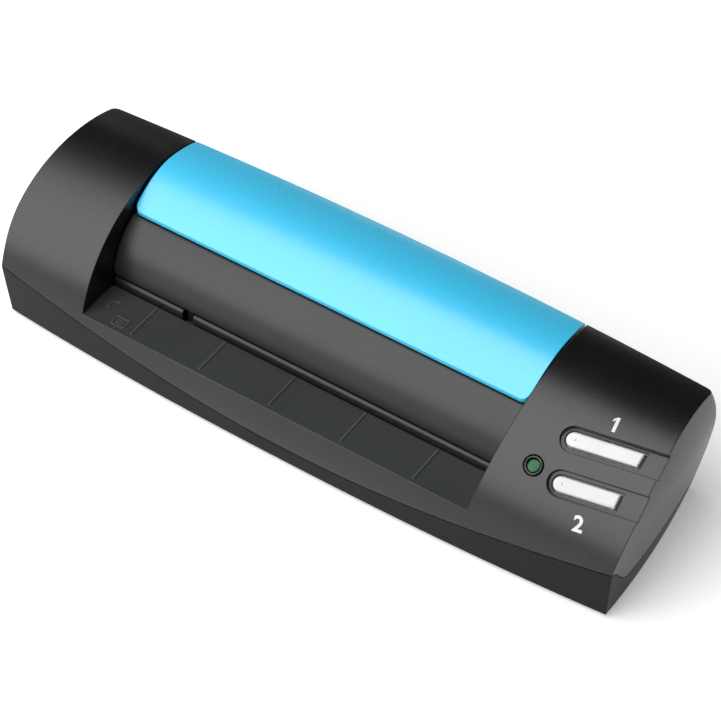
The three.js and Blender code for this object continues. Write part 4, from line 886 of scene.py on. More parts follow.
def build_base(forms):
    """The base shell with its screw posts, board stands and foot pockets."""
    case, recess, small = forms.scanner_case, forms.scanner_recess, forms.scanner_small
    floor = case.foot_lift + case.wall
    solid = combine(barrel(case, 0.0, case.foot_lift), below_parting(case, 0.0), "INTERSECT")
    combine(solid, barrel(case, case.wall, floor), "DIFFERENCE")
    for x, y in foot_places(small):
        radius = small.foot_radius + case.clearance
        pocket = post("pocket", radius, x, y, -case.wall, case.foot_lift + small.foot_pocket, small.segments)
        combine(solid, pocket, "DIFFERENCE")
    top = case.seam_height - small.stand_gap
    for x, y in side_screws(small) + rear_screws(small):
        combine(solid, post("post", small.post_radius, x, y, floor - case.wall / 2, top, small.segments), "UNION")
    for x, y, stand_top in board_stands():
        stand = post("stand", small.stand_radius, x, y, floor - case.wall / 2, stand_top, small.segments)
        combine(solid, stand, "UNION")
    cuts = screw_holes(case, recess, small) + head_sinks(case, small) + [inlet_hole(case, small)]
    return renamed(cut_away(solid, cuts), "base_tray")


def head_sinks(case, small):
    """Shallow round sinks for the screw heads under the base."""
    depth = case.foot_lift + small.screw_head + small.screw_sink
    radius = small.screw_radius + small.screw_sink
    places = side_screws(small) + rear_screws(small)
    return [post("sink", radius, x, y, -case.wall, depth, small.segments) for x, y in places]


def board_stands():
    """Stands under the boards, as X, Y and the height of the top."""
    stands = [(x, y, MAIN_STAND_TOP) for x, y in MAIN_STANDS]
    return stands + [(x, y, FLAG_STAND_TOP) for x, y in FLAG_STANDS]


# Card guides


def tyre_windows(recess, guide):
    """Cutters that let the four tyres through the lower guide."""
    middle = (recess.left + recess.right) / 2
    fall = recess.path_floor - guide.thickness - guide.axle_height
    reach = math.sqrt(guide.tyre_radius**2 - fall**2) + guide.window
    half = guide.tyre_width / 2 + guide.window
    windows = []
    for x in (middle - guide.tyre_spread, middle + guide.tyre_spread):
        for y in (guide.front_axle, guide.rear_axle):
            windows.append(block("window", x - half, x + half, y - reach, y + reach, 0, 2 * recess.path_floor))
    return windows


def lower_guide_profile(case, recess, guide):
    """Profile of the lower guide in Y and Z, with the rounded entry ridge."""
    front = recess.tray_back + case.clearance
    crest = front + guide.ridge
    under = recess.path_floor - guide.thickness
    ridge = arc(crest, recess.path_floor - guide.ridge, guide.ridge, math.pi / 2, math.pi, guide.slope_steps // 3)
    return [
        (front, under - guide.lip), (crest, under - guide.lip), (crest + guide.thickness / 2, under),
        (guide.back, under), (guide.back, recess.path_floor), *ridge,
    ]


def build_lower_guide(forms):
    """The lower card guide with its entry ridge, tyre windows, flag gap and strip pocket."""
    case, recess, guide = forms.scanner_case, forms.scanner_recess, forms.scanner_guide
    solid = across("guide", lower_guide_profile(case, recess, guide), case)
    bay = well(case, recess, case.clearance, -case.depth, case.depth, -case.depth, case_height(case))
    combine(solid, bay, "INTERSECT")
    combine(solid, barrel(case, case.wall + case.clearance, 0.0), "INTERSECT")
    cuts = [*tyre_windows(recess, guide), flag_notch(case, recess, guide), strip_pocket(case, recess, guide)]
    cut_away(solid, cuts)
    for ear in flag_ears(recess, guide):
        combine(solid, ear, "UNION")
    bore = circle(guide.flag_y, guide.flag_z, guide.flag_bore, guide.slope_steps)
    combine(solid, across("bore", bore, case), "DIFFERENCE")
    return renamed(solid, "card_floor")


def flag_notch(case, recess, guide):
    """Cutter for the gap in the entry ridge through which the card flag stands up."""
    half = guide.notch_width / 2
    back = recess.tray_back + case.clearance + guide.notch_depth
    return block("notch", guide.notch_x - half, guide.notch_x + half, -case.depth, back, 0, 2 * recess.path_floor)


def strip_pocket(case, recess, guide):
    """Cutter for the pocket that holds the white backing strip."""
    left = recess.left + case.clearance + guide.pocket_inset
    right = recess.right - case.clearance - guide.pocket_inset
    foot = recess.path_floor - guide.pocket_depth
    return block("pocket", left, right, guide.pocket_front, guide.pocket_back, foot, 2 * recess.path_floor)


def flag_ears(recess, guide):
    """The two ears under the guide that carry the pin of the card flag."""
    top = recess.path_floor - guide.thickness / 2
    ears = []
    for side in (-1, 1):
        inner = guide.notch_x + side * guide.ear_inner
        outer = inner + side * guide.ear_thickness
        left, right = min(inner, outer), max(inner, outer)
        round_end = arc(guide.flag_y, guide.flag_z, guide.ear_radius, math.pi, 2 * math.pi, guide.slope_steps)
        profile = [*round_end, (guide.flag_y + guide.ear_radius, top), (guide.flag_y - guide.ear_radius, top)]
        ears.append(prism_x("ear", profile, left, right))
    return ears


def slope_curve(recess, guide, inset):
    """The slanted front between the slot and the cover."""
    ceiling = recess.path_floor + recess.path_height
    rise = guide.slope_height - ceiling
    run = guide.slope_top - guide.slope_front
    front = guide.slope_front + inset
    mid = front + run * guide.slope_mid**2 - run * guide.slope_belly
    top = (guide.slope_top + inset * guide.slope_mid, guide.slope_height - inset * guide.slope_mid_rise)
    handles = [
        (front, ceiling),
        (mid, ceiling + rise * guide.slope_mid),
        (front + run * guide.slope_mid, ceiling + rise * guide.slope_mid_rise),
        top,
    ]
    return curve(handles, guide.slope_steps)


def upper_guide_profile(recess, guide):
    """Profile of the upper guide in Y and Z."""
    ceiling = recess.path_floor + recess.path_height
    floor = ceiling + guide.slope_wall
    inner = [point for point in slope_curve(recess, guide, guide.slope_wall) if point[1] > floor]
    flange_end = guide.slope_front + guide.flange
    return [
        *slope_curve(recess, guide, 0.0),
        (guide.slope_top + guide.slope_wall, guide.deck), (guide.back, guide.deck),
        (guide.back, guide.deck - guide.slope_wall), *inner[::-1], (flange_end, floor), (flange_end, ceiling),
    ]


def build_upper_guide(forms):
    """The upper card guide with its slanted front and its two cheeks."""
    case, recess, guide = forms.scanner_case, forms.scanner_recess, forms.scanner_guide
    high = 2 * case_height(case)
    solid = across("guide", upper_guide_profile(recess, guide)[::-1], case)
    roof = guide.deck - guide.slope_wall / 2
    cheek = [
        (guide.cheek_front, guide.cheek_foot), (guide.cheek_back, guide.cheek_foot), (guide.cheek_back, roof),
        (guide.slope_top, roof), (guide.cheek_front, guide.cheek_shoulder),
    ]
    left = recess.left + case.clearance + guide.cheek_wall
    right = recess.right - guide.cheek_inset
    combine(solid, prism_x("cheek", cheek, -case.width, left), "UNION")
    combine(solid, prism_x("cheek", cheek, right, case.width), "UNION")
    sides = well(case, recess, case.clearance, -case.depth, case.depth, recess.tray_height, high)
    combine(solid, sides, "INTERSECT")
    room = barrel(case, case.wall + case.clearance, 0.0)
    combine(room, block("front", -case.width, case.width, -case.depth, 0, 0, high), "UNION")
    combine(solid, room, "INTERSECT")
    for y in (guide.front_axle, guide.rear_axle):
        bore = circle(y, guide.pinch_height, guide.pinch_bore, guide.slope_steps)
        combine(solid, across("bore", bore, case), "DIFFERENCE")
    return renamed(solid, "card_ceiling")


# Blue cover


def cover_profile(case, cover, inset):
    """Profile of the cover: the arc of the top, then a curve down to the lip."""
    points = []
    back = case.depth / 2 + case.wall * 4
    steps = cover.steps
    for i in range(steps + 1):
        y = back + (cover.blend - back) * i / steps
        points.append((y, top_at(case, y, inset)))
    height = top_at(case, cover.blend, inset)
    lip = cover.lip + inset
    lip_height = cover.lip_height - inset
    handles = [
        (cover.blend, height), (cover.blend - cover.shoulder, height + cover.shoulder_rise),
        (lip + cover.brow, lip_height + cover.brow_rise), (lip, lip_height),
    ]
    return [*points, *curve(handles, steps)[1:], (lip, 0), (back, 0)]


def cover_plan(case, recess, cover):
    """Plan of the cover with rounded front corners."""
    left = left_wall(recess, cover.lip_height) + cover.gap
    right = right_wall(case, recess, cover.lip, cover.lip_height) - cover.gap
    front, radius, far = cover.lip, cover.corner, case.width
    turn_left = arc(left + radius, front + radius, radius, math.pi, 1.5 * math.pi, cover.steps // 3)
    turn_right = arc(right - radius, front + radius, radius, 1.5 * math.pi, 2 * math.pi, cover.steps // 3)
    return [*turn_left, *turn_right, (far, front + far), (far, far), (-far, far), (-far, front + far)]


def build_cover(forms):
    """The blue cover, rolled down at the front, with its skirt at the back."""
    case, recess, cover = forms.scanner_case, forms.scanner_recess, forms.scanner_cover
    high = 2 * case_height(case)
    shells = []
    for inset in (0.0, cover.wall):
        shell = across("shell", cover_profile(case, cover, inset), case)
        shells.append(combine(shell, barrel(case, inset, case.foot_lift), "INTERSECT"))
    solid = combine(shells[0], shells[1], "DIFFERENCE")
    combine(solid, well(case, recess, cover.gap, -case.depth, case.depth, recess.tray_height, high), "INTERSECT")
    combine(solid, prism("plan", cover_plan(case, recess, cover), 0, high), "INTERSECT")
    foot = cover.lip_height - cover.lip_drop
    away = [
        (-case.depth, -case.depth), (case.depth, -case.depth), (case.depth, cover.skirt),
        (case.depth / 4, cover.skirt), (case.depth / 4, foot), (-case.depth, foot),
    ]
    combine(solid, across("away", away, case), "DIFFERENCE")
    return renamed(solid, "cover_blue")


# Key field: its frame lies on the tilted shoulder, W pointing out of the surface


def key_frame(forms):
    """Turns key-field coordinates into places on the case."""
    case, keys = forms.scanner_case, forms.scanner_keys
    tilt = math.asin((arc_centre(case) - keys.field_y) / case.arc_radius)
    place = Vector((keys.field_x, keys.field_y, top_at(case, keys.field_y)))
    return Matrix.Translation(place) @ Matrix.Rotation(tilt, 4, "X")


def key_line(keys, number):
    """Tip, end and rise of one key."""
    if number == 1:
        return keys.tip_1, keys.end_1, keys.rise_1
    return keys.tip_2, keys.end_2, keys.rise_2


def bar(keys, number, half, end_x):
    """A bar with a round left tip and an upright right end, on its key's slanted line."""
    tip, end, rise = key_line(keys, number)
    middle = (tip + end) / 2
    slope = math.tan(keys.slant)

    def line(x):
        return rise + (x - middle) * slope

    centre = tip + keys.half_width
    across = half / math.cos(keys.slant)
    start = math.pi / 2 + keys.slant
    turn = arc(centre - keys.field_x, line(centre), half, start, start + math.pi, keys.steps)
    far = end_x - keys.field_x
    return [(far, line(end_x) - across), (far, line(end_x) + across), *turn]


def key_prism(forms, name, outline, start, end):
    """An outline of the key field drawn out between two heights over it."""
    return prism(name, outline, start, end, key_frame(forms))


def under_top(case, start, end):
    """The layer between two depths under the arc of the top."""
    centre, height, steps = arc_centre(case), case.arc_height, case.arc_steps
    outer = prism_x("layer", circle(centre, height, case.arc_radius - start, steps), 0, case.width)
    core = circle(centre, height, case.arc_radius - end, steps)
    return combine(outer, prism_x("core", core, -case.wall, case.width + case.wall), "DIFFERENCE")


def key_cutters(forms):
    """Channels, key holes and the lamp hole in the right shoulder."""
    case, keys = forms.scanner_case, forms.scanner_keys
    reach = case.wall * 4
    cutters = []
    for number in (1, 2):
        end = key_line(keys, number)[1] + keys.gap
        channel = key_prism(forms, "channel", bar(keys, number, keys.channel_half, case.width), -reach, reach)
        cutters.append(combine(channel, under_top(case, -reach, keys.channel_depth), "INTERSECT"))
        hole = bar(keys, number, keys.half_width + keys.gap, end)
        cutters.append(key_prism(forms, "key_hole", hole, -reach, reach))
    lamp = circle(keys.lamp_x - keys.field_x, keys.lamp_rise, keys.ring_radius + case.clearance, keys.steps * 3)
    cutters.append(key_prism(forms, "lamp_hole", lamp, -reach, reach))
    return cutters


def board_posts(forms):
    """Three posts under the shoulder that carry the key board."""
    case, keys = forms.scanner_case, forms.scanner_keys
    posts = []
    for u, v in KEY_BOARD_POSTS:
        outline = circle(u, v, keys.post_radius, keys.steps * 2)
        posts.append(key_prism(forms, "board_post", outline, keys.post_foot, -case.wall / 2))
    return posts


def bent_ring(forms, outline, depth):
    """An outline of the key field laid at a depth under the arc of the top."""
    radius = forms.scanner_case.arc_radius
    place = key_frame(forms)
    ring = []
    for u, v in outline:
        w = math.sqrt((radius - depth) ** 2 - v**2) - radius
        ring.append(place @ Vector((u, v, w)))
    return ring


def key_rings(forms, number):
    """Rings of a key's bar from its foot over the rounded crown to its middle."""
    keys = forms.scanner_keys
    end = key_line(keys, number)[1]
    rings = [bent_ring(forms, bar(keys, number, keys.half_width, end), keys.body)]
    crown_steps = keys.steps // 2
    for i in range(crown_steps + 1):
        turn = math.pi / 2 * i / crown_steps
        inset = keys.crown * (1 - math.cos(turn))
        depth = keys.drop + keys.crown * (1 - math.sin(turn))
        rings.append(bent_ring(forms, bar(keys, number, keys.half_width - inset, end - inset), depth))
    flat_parts = (0.5, 0.2)
    for part in flat_parts:
        half = (keys.half_width - keys.crown) * part
        outline = bar(keys, number, half, end - keys.half_width + half)
        rings.append(bent_ring(forms, outline, keys.drop))
    return rings


def build_key(forms, number):
    """A key cap with its flange, its stem and the raised dot near its tip."""
    case, keys = forms.scanner_case, forms.scanner_keys
    tip, end, rise = key_line(keys, number)
    solid = loft("key_cap", key_rings(forms, number))
    outline = bar(keys, number, keys.half_width + keys.flange, end + keys.flange)
    depths = (keys.flange_depth + keys.flange_thickness, keys.flange_depth)
    combine(solid, loft("flange", [bent_ring(forms, outline, depth) for depth in depths]), "UNION")
    middle = (tip + end) / 2
    stem = circle(middle - keys.field_x, rise, keys.stem_radius, keys.steps * 2)
    combine(solid, key_prism(forms, "stem", stem, -keys.stem_foot, -case.wall), "UNION")
    dot_x = tip + keys.dot_place
    dot_v = rise + (dot_x - middle) * math.tan(keys.slant)
    combine(solid, key_dot(forms, dot_x - keys.field_x, dot_v), "UNION")
    return renamed(solid, f"key_cap_{number}")


def key_dot(forms, u, v):
    """A small dome on a key."""
    case, keys = forms.scanner_case, forms.scanner_keys
    surface = math.sqrt((case.arc_radius - keys.drop) ** 2 - v**2) - case.arc_radius
    bm = bmesh.new()
    bmesh.ops.create_uvsphere(bm, u_segments=20, v_segments=12, radius=keys.dot)
    bm.transform(key_frame(forms) @ Matrix.Translation((u, v, surface)))
    return new_object("dot", bm)


# Lamp, feet, screws and cable inlet


def build_lamp_ring(forms):
    """The dark ring round the lamp."""
    case, keys = forms.scanner_case, forms.scanner_keys
    u, steps = keys.lamp_x - keys.field_x, keys.steps * 4
    reach = case.wall * 4
    ring = key_prism(forms, "ring", circle(u, keys.lamp_rise, keys.ring_radius, steps), -keys.ring_length, reach)
    inner = circle(u, keys.lamp_rise, keys.ring_radius - keys.ring_wall, steps)
    combine(ring, key_prism(forms, "bore", inner, -reach, reach * 2), "DIFFERENCE")
    combine(ring, under_top(case, -keys.drop, reach), "INTERSECT")
    return renamed(ring, "lamp_collar")


def build_lens(forms):
    """The lamp's lens: a light pipe with a flange and a low dome."""
    case, keys = forms.scanner_case, forms.scanner_keys
    radius, wide = keys.lamp_radius, keys.lamp_radius + keys.lamp_flange
    top = math.sqrt((case.arc_radius - keys.drop) ** 2 - keys.lamp_rise**2) - case.arc_radius - keys.lamp_dome
    profile = [(0, -keys.lamp_pipe), (wide, -keys.lamp_pipe), (wide, -keys.lamp_step), (radius, -keys.lamp_step)]
    for i in range(keys.steps + 1):
        turn = math.pi / 2 * i / keys.steps
        profile.append((radius * math.cos(turn), top + keys.lamp_dome * math.sin(turn)))
    place = key_frame(forms) @ Matrix.Translation((keys.lamp_x - keys.field_x, keys.lamp_rise, 0))
    return turned("lamp_dome", profile, keys.steps * 4, place)


def build_foot(forms, number, x, y):
    """A rubber foot with a rounded lower edge and a shallow dish."""
    small = forms.scanner_small
    radius, edge = small.foot_radius, small.foot_round
    profile = [(0, edge / 2), (radius * small.foot_dish, edge / 2), (radius * small.foot_rim, 0)]
    profile += arc(radius - edge, edge, edge, -math.pi / 2, 0, small.foot_steps)
    profile += [(radius, small.foot_height), (0, small.foot_height)]
    return turned(f"foot_pad_{number}", profile, small.segments, Matrix.Translation((x, y, 0)))


def build_screw(forms, number, x, y):
    """A pan head screw seen from below, with a cross in its head."""
    case, small = forms.scanner_case, forms.scanner_small
    foot = case.foot_lift + small.screw_sink
    radius, head = small.screw_radius, small.screw_head
    profile = [(0, foot)]
    for i in range(1, small.screw_steps + 1):
        turn = math.pi / 2 * i / small.screw_steps
        profile.append((radius * math.sin(turn), foot + head * (1 - math.cos(turn))))
    shank = small.hole_radius - case.parting / 2
    profile += [(shank, foot + head), (shank, case.seam_height), (0, case.seam_height + shank)]
    screw = turned("screw", profile, small.segments, Matrix.Translation((x, y, 0)))
    arm, half, deep = radius * small.screw_arm, small.screw_slot / 2, head * small.screw_deep
    for reach_x, reach_y in ((arm, half), (half, arm)):
        cut = block("cross", x - reach_x, x + reach_x, y - reach_y, y + reach_y, 0, foot + deep)
        combine(screw, cut, "DIFFERENCE")
    return renamed(screw, f"screw_{number}")


def build_inlet(forms):
    """The cable inlet: a folded metal shell with its tongue."""
    small = forms.scanner_small
    foot, x = small.inlet_foot, small.inlet_x
    top, half, wall = foot + small.inlet_height, small.inlet_width / 2, small.inlet_wall
    cut = wall * 2
    outline = [
        (x - half + cut, foot), (x + half - cut, foot), (x + half, foot + cut), (x + half, top), (x - half, top),
        (x - half, foot + cut),
    ]
    front = small.inlet_back - small.inlet_length
    shell = prism_y("inlet", outline, front, small.inlet_back)
    hollow = [
        (x - half + cut, foot + wall), (x + half - cut, foot + wall), (x + half - wall, foot + cut),
        (x + half - wall, top - wall), (x - half + wall, top - wall), (x - half + wall, foot + cut),
    ]
    combine(shell, prism_y("hollow", hollow, front + cut, small.inlet_back + wall), "DIFFERENCE")
    middle, reach, thick = (foot + top) / 2, small.tongue_width / 2, small.tongue / 2
    back = small.inlet_back - wall
    tongue = block("tongue", x - reach, x + reach, front + wall, back, middle - thick, middle + thick)
    combine(shell, tongue, "UNION")
    return renamed(shell, "inlet_shell")


def build_contacts(forms):
    """Gilt contacts on the tongue of the inlet."""
    small = forms.scanner_small
    middle = small.inlet_foot + small.inlet_height / 2
    top = middle + small.tongue / 2
    pitch = small.tongue_width / (small.contact_count + 1)
    start = small.inlet_x - small.tongue_width / 2
    bm = bmesh.new()
    for i in range(small.contact_count):
        x = start + pitch * (i + 1)
        size = (pitch / 2, small.inlet_length / 2, small.sign_rise * 4)
        centre = (x, small.inlet_back - small.inlet_length / 2, top)
        bmesh.ops.create_cube(bm, size=1, matrix=Matrix.LocRotScale(centre, None, size))
    return new_object("inlet_contacts", bm)


# Printed signs


def laid_on_top(forms, bm, x, y):
    """Cuts a flat sign into strips and bends it onto the arc of the top, with its middle at x, y."""
    case = forms.scanner_case
    low = min(vert.co.y for vert in bm.verts)
    high = max(vert.co.y for vert in bm.verts)
    strips = forms.scanner_small.sign_strips
    for i in range(1, strips):
        place = (0, low + (high - low) * i / strips, 0)
        geometry = bm.verts[:] + bm.edges[:] + bm.faces[:]
        bmesh.ops.bisect_plane(bm, geom=geometry, dist=ON_PLANE, plane_co=place, plane_no=(0, 1, 0))
    centre = arc_centre(case)
    start = math.asin((y - centre) / case.arc_radius)
    for vert in bm.verts:
        turn = start + vert.co.y / case.arc_radius
        reach = case.arc_radius + vert.co.z
        vert.co = (x + vert.co.x, centre + reach * math.sin(turn), case.arc_height + reach * math.cos(turn))


def flag_of_one(small, stem):
    """The flag on the left of a numeral 1, whose stem in the font is a plain bar."""
    left = min(vert.co.x for vert in stem.data.vertices)
    top = max(vert.co.y for vert in stem.data.vertices)
    reach, inside = small.numeral_size * small.flag_reach, left + small.numeral_bold
    tip, low = left - reach, top - reach
    outline = [(inside, top), (tip, low), (tip, low - reach), (inside, low)]
    return prism("flag", outline, -small.sign_rise, small.sign_rise)


def in_order(mesh):
    """The same solid with its points and faces in a fixed order, which a join doesn't keep in each run."""
    places = [tuple(vert.co) for vert in mesh.vertices]
    order = sorted(range(len(places)), key=lambda i: [round(value / SAME_POINT) for value in places[i]])
    rank = {old: new for new, old in enumerate(order)}
    rings = []
    for face in mesh.polygons:
        ring = [rank[i] for i in face.vertices]
        first = ring.index(min(ring))
        rings.append((ring[first:] + ring[:first], face.use_smooth))
    bm = bmesh.new()
    verts = [bm.verts.new(places[i]) for i in order]
    for ring, smooth in sorted(rings):
        bm.faces.new([verts[i] for i in ring]).smooth = smooth
    return bm


def build_numeral(forms, number, x, y):
    """A printed numeral beside a key."""
    small = forms.scanner_small
    text = bpy.data.curves.new("numeral", "FONT")
    text.body = str(number)
    text.size = small.numeral_size
    text.align_x, text.align_y = "CENTER", "CENTER"
    text.extrude = small.sign_rise
    text.offset = small.numeral_bold
    holder = bpy.data.objects.new("numeral", text)
    bpy.context.scene.collection.objects.link(holder)
    mesh = bpy.data.meshes.new_from_object(holder.evaluated_get(bpy.context.evaluated_depsgraph_get()))
    bpy.data.objects.remove(holder)
    bpy.data.curves.remove(text)
    bm = bmesh.new()
    bm.from_mesh(mesh)
    bpy.data.meshes.remove(mesh)
    bmesh.ops.remove_doubles(bm, verts=bm.verts, dist=SAME_POINT)
    piece = new_object(f"numeral_{number}", bm)
    if number == 1:
        combine(piece, flag_of_one(small, piece), "UNION")
    bm = in_order(piece.data)
    bm.transform(Matrix.Rotation(forms.scanner_keys.slant, 4, "Z"))
    laid_on_top(forms, bm, x, y)
    bm.to_mesh(piece.data)
    bm.free()
    return piece


def mark_levels(forms):
    """Foot and top of a raised mark on the tray."""
    level = forms.scanner_recess.tray_height
    return level - forms.scanner_small.sign_rise, level + forms.scanner_small.mark_rise


def build_card_mark(forms):
    """A raised outline of a card with two lines on it."""
    small = forms.scanner_small
    x, y = small.card_mark
    wide, deep, line = small.card_mark_width / 2, small.card_mark_depth / 2, small.mark_line
    foot, top = mark_levels(forms)
    mark = block("card_mark", x - wide, x + wide, y - deep, y + deep, foot, top)
    wide, deep = wide - line, deep - line
    hole = block("hole", x - wide, x + wide, y - deep, y + deep, foot - line, top + line)
    combine(mark, hole, "DIFFERENCE")
    left, right, thick = x - wide * 0.7, x + wide * 0.5, line * 0.7
    for row_y in (y - deep / 2, y + deep / 4):
        combine(mark, block("row", left, right, row_y, row_y + thick, foot, top), "UNION")
    return renamed(mark, "card_mark")


def build_arrow_mark(forms):
    """A raised bent arrow on the tray."""
    small = forms.scanner_small
    x, y = small.arrow_mark
    radius, line = small.arrow_radius, small.mark_line
    foot, top = mark_levels(forms)
    start, end, steps = small.arrow_start, small.arrow_end, small.arrow_steps
    outer = arc(x, y, radius + line / 2, start, end, steps)
    inner = arc(x, y, radius - line / 2, end, start, steps)
    mark = prism("arrow_mark", [*outer, *inner], foot, top)
    tip_x, tip_y = x + radius * math.cos(end), y + radius * math.sin(end)
    half, reach = line * 2, line * 3
    tip = [(tip_x, tip_y - half), (tip_x + reach, tip_y), (tip_x, tip_y + half)]
    return combine(mark, prism("tip", tip, foot, top), "UNION")


# Materials


def tinted(base, factor, lift=0.0):
    """A colour made lighter or darker by a factor, and lifted, so that a near-black changes too."""
    return tuple(channel * factor + lift for channel in base)


class Shader:
    """A node material with short calls for the nodes that the finishes share."""

    def __init__(self, name):
        self.material = bpy.data.materials.new(name)
        self.material.use_nodes = True
        self.nodes = self.material.node_tree.nodes
        self.links = self.material.node_tree.links
        self.surface = self.nodes["Principled BSDF"]
        self.place = self.nodes.new("ShaderNodeTexCoord").outputs["Object"]

    def set(self, **values):
        """Sets sockets of the surface to values, with _ for a space in a socket's name."""
        for key, value in values.items():
            self.surface.inputs[key.replace("_", " ")].default_value = value

    def feed(self, **outputs):
        """Links outputs of other nodes to sockets of the surface."""
        for key, output in outputs.items():
            self.links.new(output, self.surface.inputs[key.replace("_", " ")])

    def noise(self, scale, detail=3.0, rough=0.5, place=None):
        """Noise of so many grains per metre."""
        node = self.nodes.new("ShaderNodeTexNoise")
        node.inputs["Scale"].default_value = scale
        node.inputs["Detail"].default_value = detail
        node.inputs["Roughness"].default_value = rough
        self.links.new(place or self.place, node.inputs["Vector"])
        return node.outputs["Fac"]

    def stretched(self, x, y, z):
        """Object coordinates stretched along the axes, for brushed or drawn marks."""
        node = self.nodes.new("ShaderNodeMapping")
        node.inputs["Scale"].default_value = (x, y, z)
        self.links.new(self.place, node.inputs["Vector"])
        return node.outputs["Vector"]

    def span(self, value, low, high, to_low, to_high):
        """Maps a value from one range to another."""
        node = self.nodes.new("ShaderNodeMapRange")
        for key, number in zip(("From Min", "From Max", "To Min", "To Max"), (low, high, to_low, to_high)):
            node.inputs[key].default_value = number
        self.links.new(value, node.inputs["Value"])
        return node.outputs["Result"]

    def vary(self, noise, to_low, to_high):
        """Maps the middle of a noise, where nearly all of it lies, to a range."""
        return self.span(noise, 0.3, 0.7, to_low, to_high)

    def mix(self, factor, first, second):
        """Mixes two colours, each a colour or an output."""
        node = self.nodes.new("ShaderNodeMix")
        node.data_type = "RGBA"
        self.links.new(factor, node.inputs["Factor"])
        sockets = [item for item in node.inputs if item.type == "RGBA"]
        for socket, value in zip(sockets, (first, second)):
            if isinstance(value, bpy.types.NodeSocket):
                self.links.new(value, socket)
            else:
                socket.default_value = (*value, 1.0)
        return next(item for item in node.outputs if item.type == "RGBA")

    def rounded_edges(self, radius):
        """Softens the look of sharp edges, and returns the softened normal."""
        node = self.nodes.new("ShaderNodeBevel")
        node.samples = 6
        node.inputs["Radius"].default_value = radius
        return node.outputs["Normal"]

    def bump(self, height, strength, distance, normal=None):
        """A bump, on the softened normal where there is one."""
        node = self.nodes.new("ShaderNodeBump")
        node.inputs["Strength"].default_value = strength
        node.inputs["Distance"].default_value = distance
        self.links.new(height, node.inputs["Height"])
        if normal is not None:
            self.links.new(normal, node.inputs["Normal"])
        return node.outputs["Normal"]

    def edge_mask(self, softened, start=0.995, full=0.8):
        """White on edges, where the softened normal leaves the true one, by the cosine between them."""
        geometry = self.nodes.new("ShaderNodeNewGeometry")
        dot = self.nodes.new("ShaderNodeVectorMath")
        dot.operation = "DOT_PRODUCT"
        self.links.new(softened, dot.inputs[0])
        self.links.new(geometry.outputs["Normal"], dot.inputs[1])
        return self.span(dot.outputs["Value"], start, full, 0.0, 1.0)


def moulded(shader, base, rough, grain, depth, edge, wear, cloudy=0.1):
    """Moulded plastic: fine spark grain, slight cloudiness, and edges polished by handling."""
    softened = shader.rounded_edges(edge)
    cloud = shader.vary(shader.noise(60.0, 4.0), 0.0, 1.0)
    body = shader.mix(cloud, tinted(base, 1 - cloudy), tinted(base, 1 + cloudy, cloudy * 0.02))
    worn = tinted(base, 1 + wear, wear * 0.01)
    colour = shader.mix(shader.edge_mask(softened), body, worn)
    fine = shader.noise(grain, 2.0, 0.6)
    spread = 0.05
    shader.feed(
        Base_Color=colour,
        Roughness=shader.vary(fine, rough - spread, rough + spread),
        Normal=shader.bump(fine, 0.35, depth, softened),
    )


def drawn_steel(shader):
    """Bright steel with fine lines along X, as rolled strip and drawn wire have."""
    softened = shader.rounded_edges(0.0001)
    lines = shader.noise(900.0, 3.0, 0.6, shader.stretched(0.04, 1.0, 1.0))
    cloud = shader.noise(120.0, 3.0)
    shader.feed(
        Base_Color=shader.mix(cloud, (0.50, 0.51, 0.52), (0.62, 0.62, 0.61)),
        Roughness=shader.vary(lines, 0.24, 0.40),
        Normal=shader.bump(lines, 0.2, 0.00001, softened),
    )
    shader.set(Metallic=1.0)


def board_green(shader):
    """Solder mask with copper tracks under it."""
    tracks = shader.nodes.new("ShaderNodeTexBrick")
    tracks.inputs["Scale"].default_value = 180.0
    tracks.inputs["Mortar Size"].default_value = 0.03
    shader.links.new(shader.place, tracks.inputs["Vector"])
    cloud = shader.noise(500.0, 3.0)
    mask = shader.mix(cloud, (0.008, 0.085, 0.030), (0.012, 0.12, 0.042))
    shader.feed(
        Base_Color=shader.mix(tracks.outputs["Fac"], mask, (0.03, 0.20, 0.07)),
        Roughness=shader.vary(cloud, 0.22, 0.34),
        Normal=shader.bump(tracks.outputs["Fac"], 0.3, 0.00003),
    )


def clear_glass(shader):
    """The sensor's glass, with a little dust on it."""
    dust = shader.noise(700.0, 5.0)
    shader.feed(
        Roughness=shader.span(dust, 0.4, 0.8, 0.03, 0.12),
        Base_Color=shader.mix(dust, (0.80, 0.92, 0.92), (0.90, 0.97, 0.97)),
    )
    shader.set(Transmission_Weight=0.9, IOR=1.5)


def lamp_green(shader, base):
    """The tinted lens, slightly cloudy inside."""
    cloud = shader.noise(900.0, 2.0)
    shader.feed(
        Base_Color=shader.mix(shader.vary(cloud, 0.0, 1.0), tinted(base, 0.8), tuple(base)),
        Roughness=shader.vary(cloud, 0.12, 0.2),
    )
    shader.set(Subsurface_Weight=0.3, Subsurface_Scale=0.001, Specular_IOR_Level=0.3)


def printed(shader, base):
    """Printed ink with slightly uneven cover."""
    cover = shader.noise(3500.0, 3.0)
    shader.feed(
        Base_Color=shader.mix(shader.span(cover, 0.35, 0.6, 0.0, 1.0), tinted(base, 0.82), tuple(base)),
        Roughness=shader.vary(cover, 0.4, 0.55),
    )


def gilt(shader):
    """Thin gold over the contacts of the inlet."""
    cloud = shader.noise(1500.0, 2.0)
    shader.feed(
        Base_Color=shader.mix(cloud, (0.75, 0.52, 0.20), (0.85, 0.62, 0.28)),
        Roughness=shader.vary(cloud, 0.2, 0.35),
    )
    shader.set(Metallic=1.0)
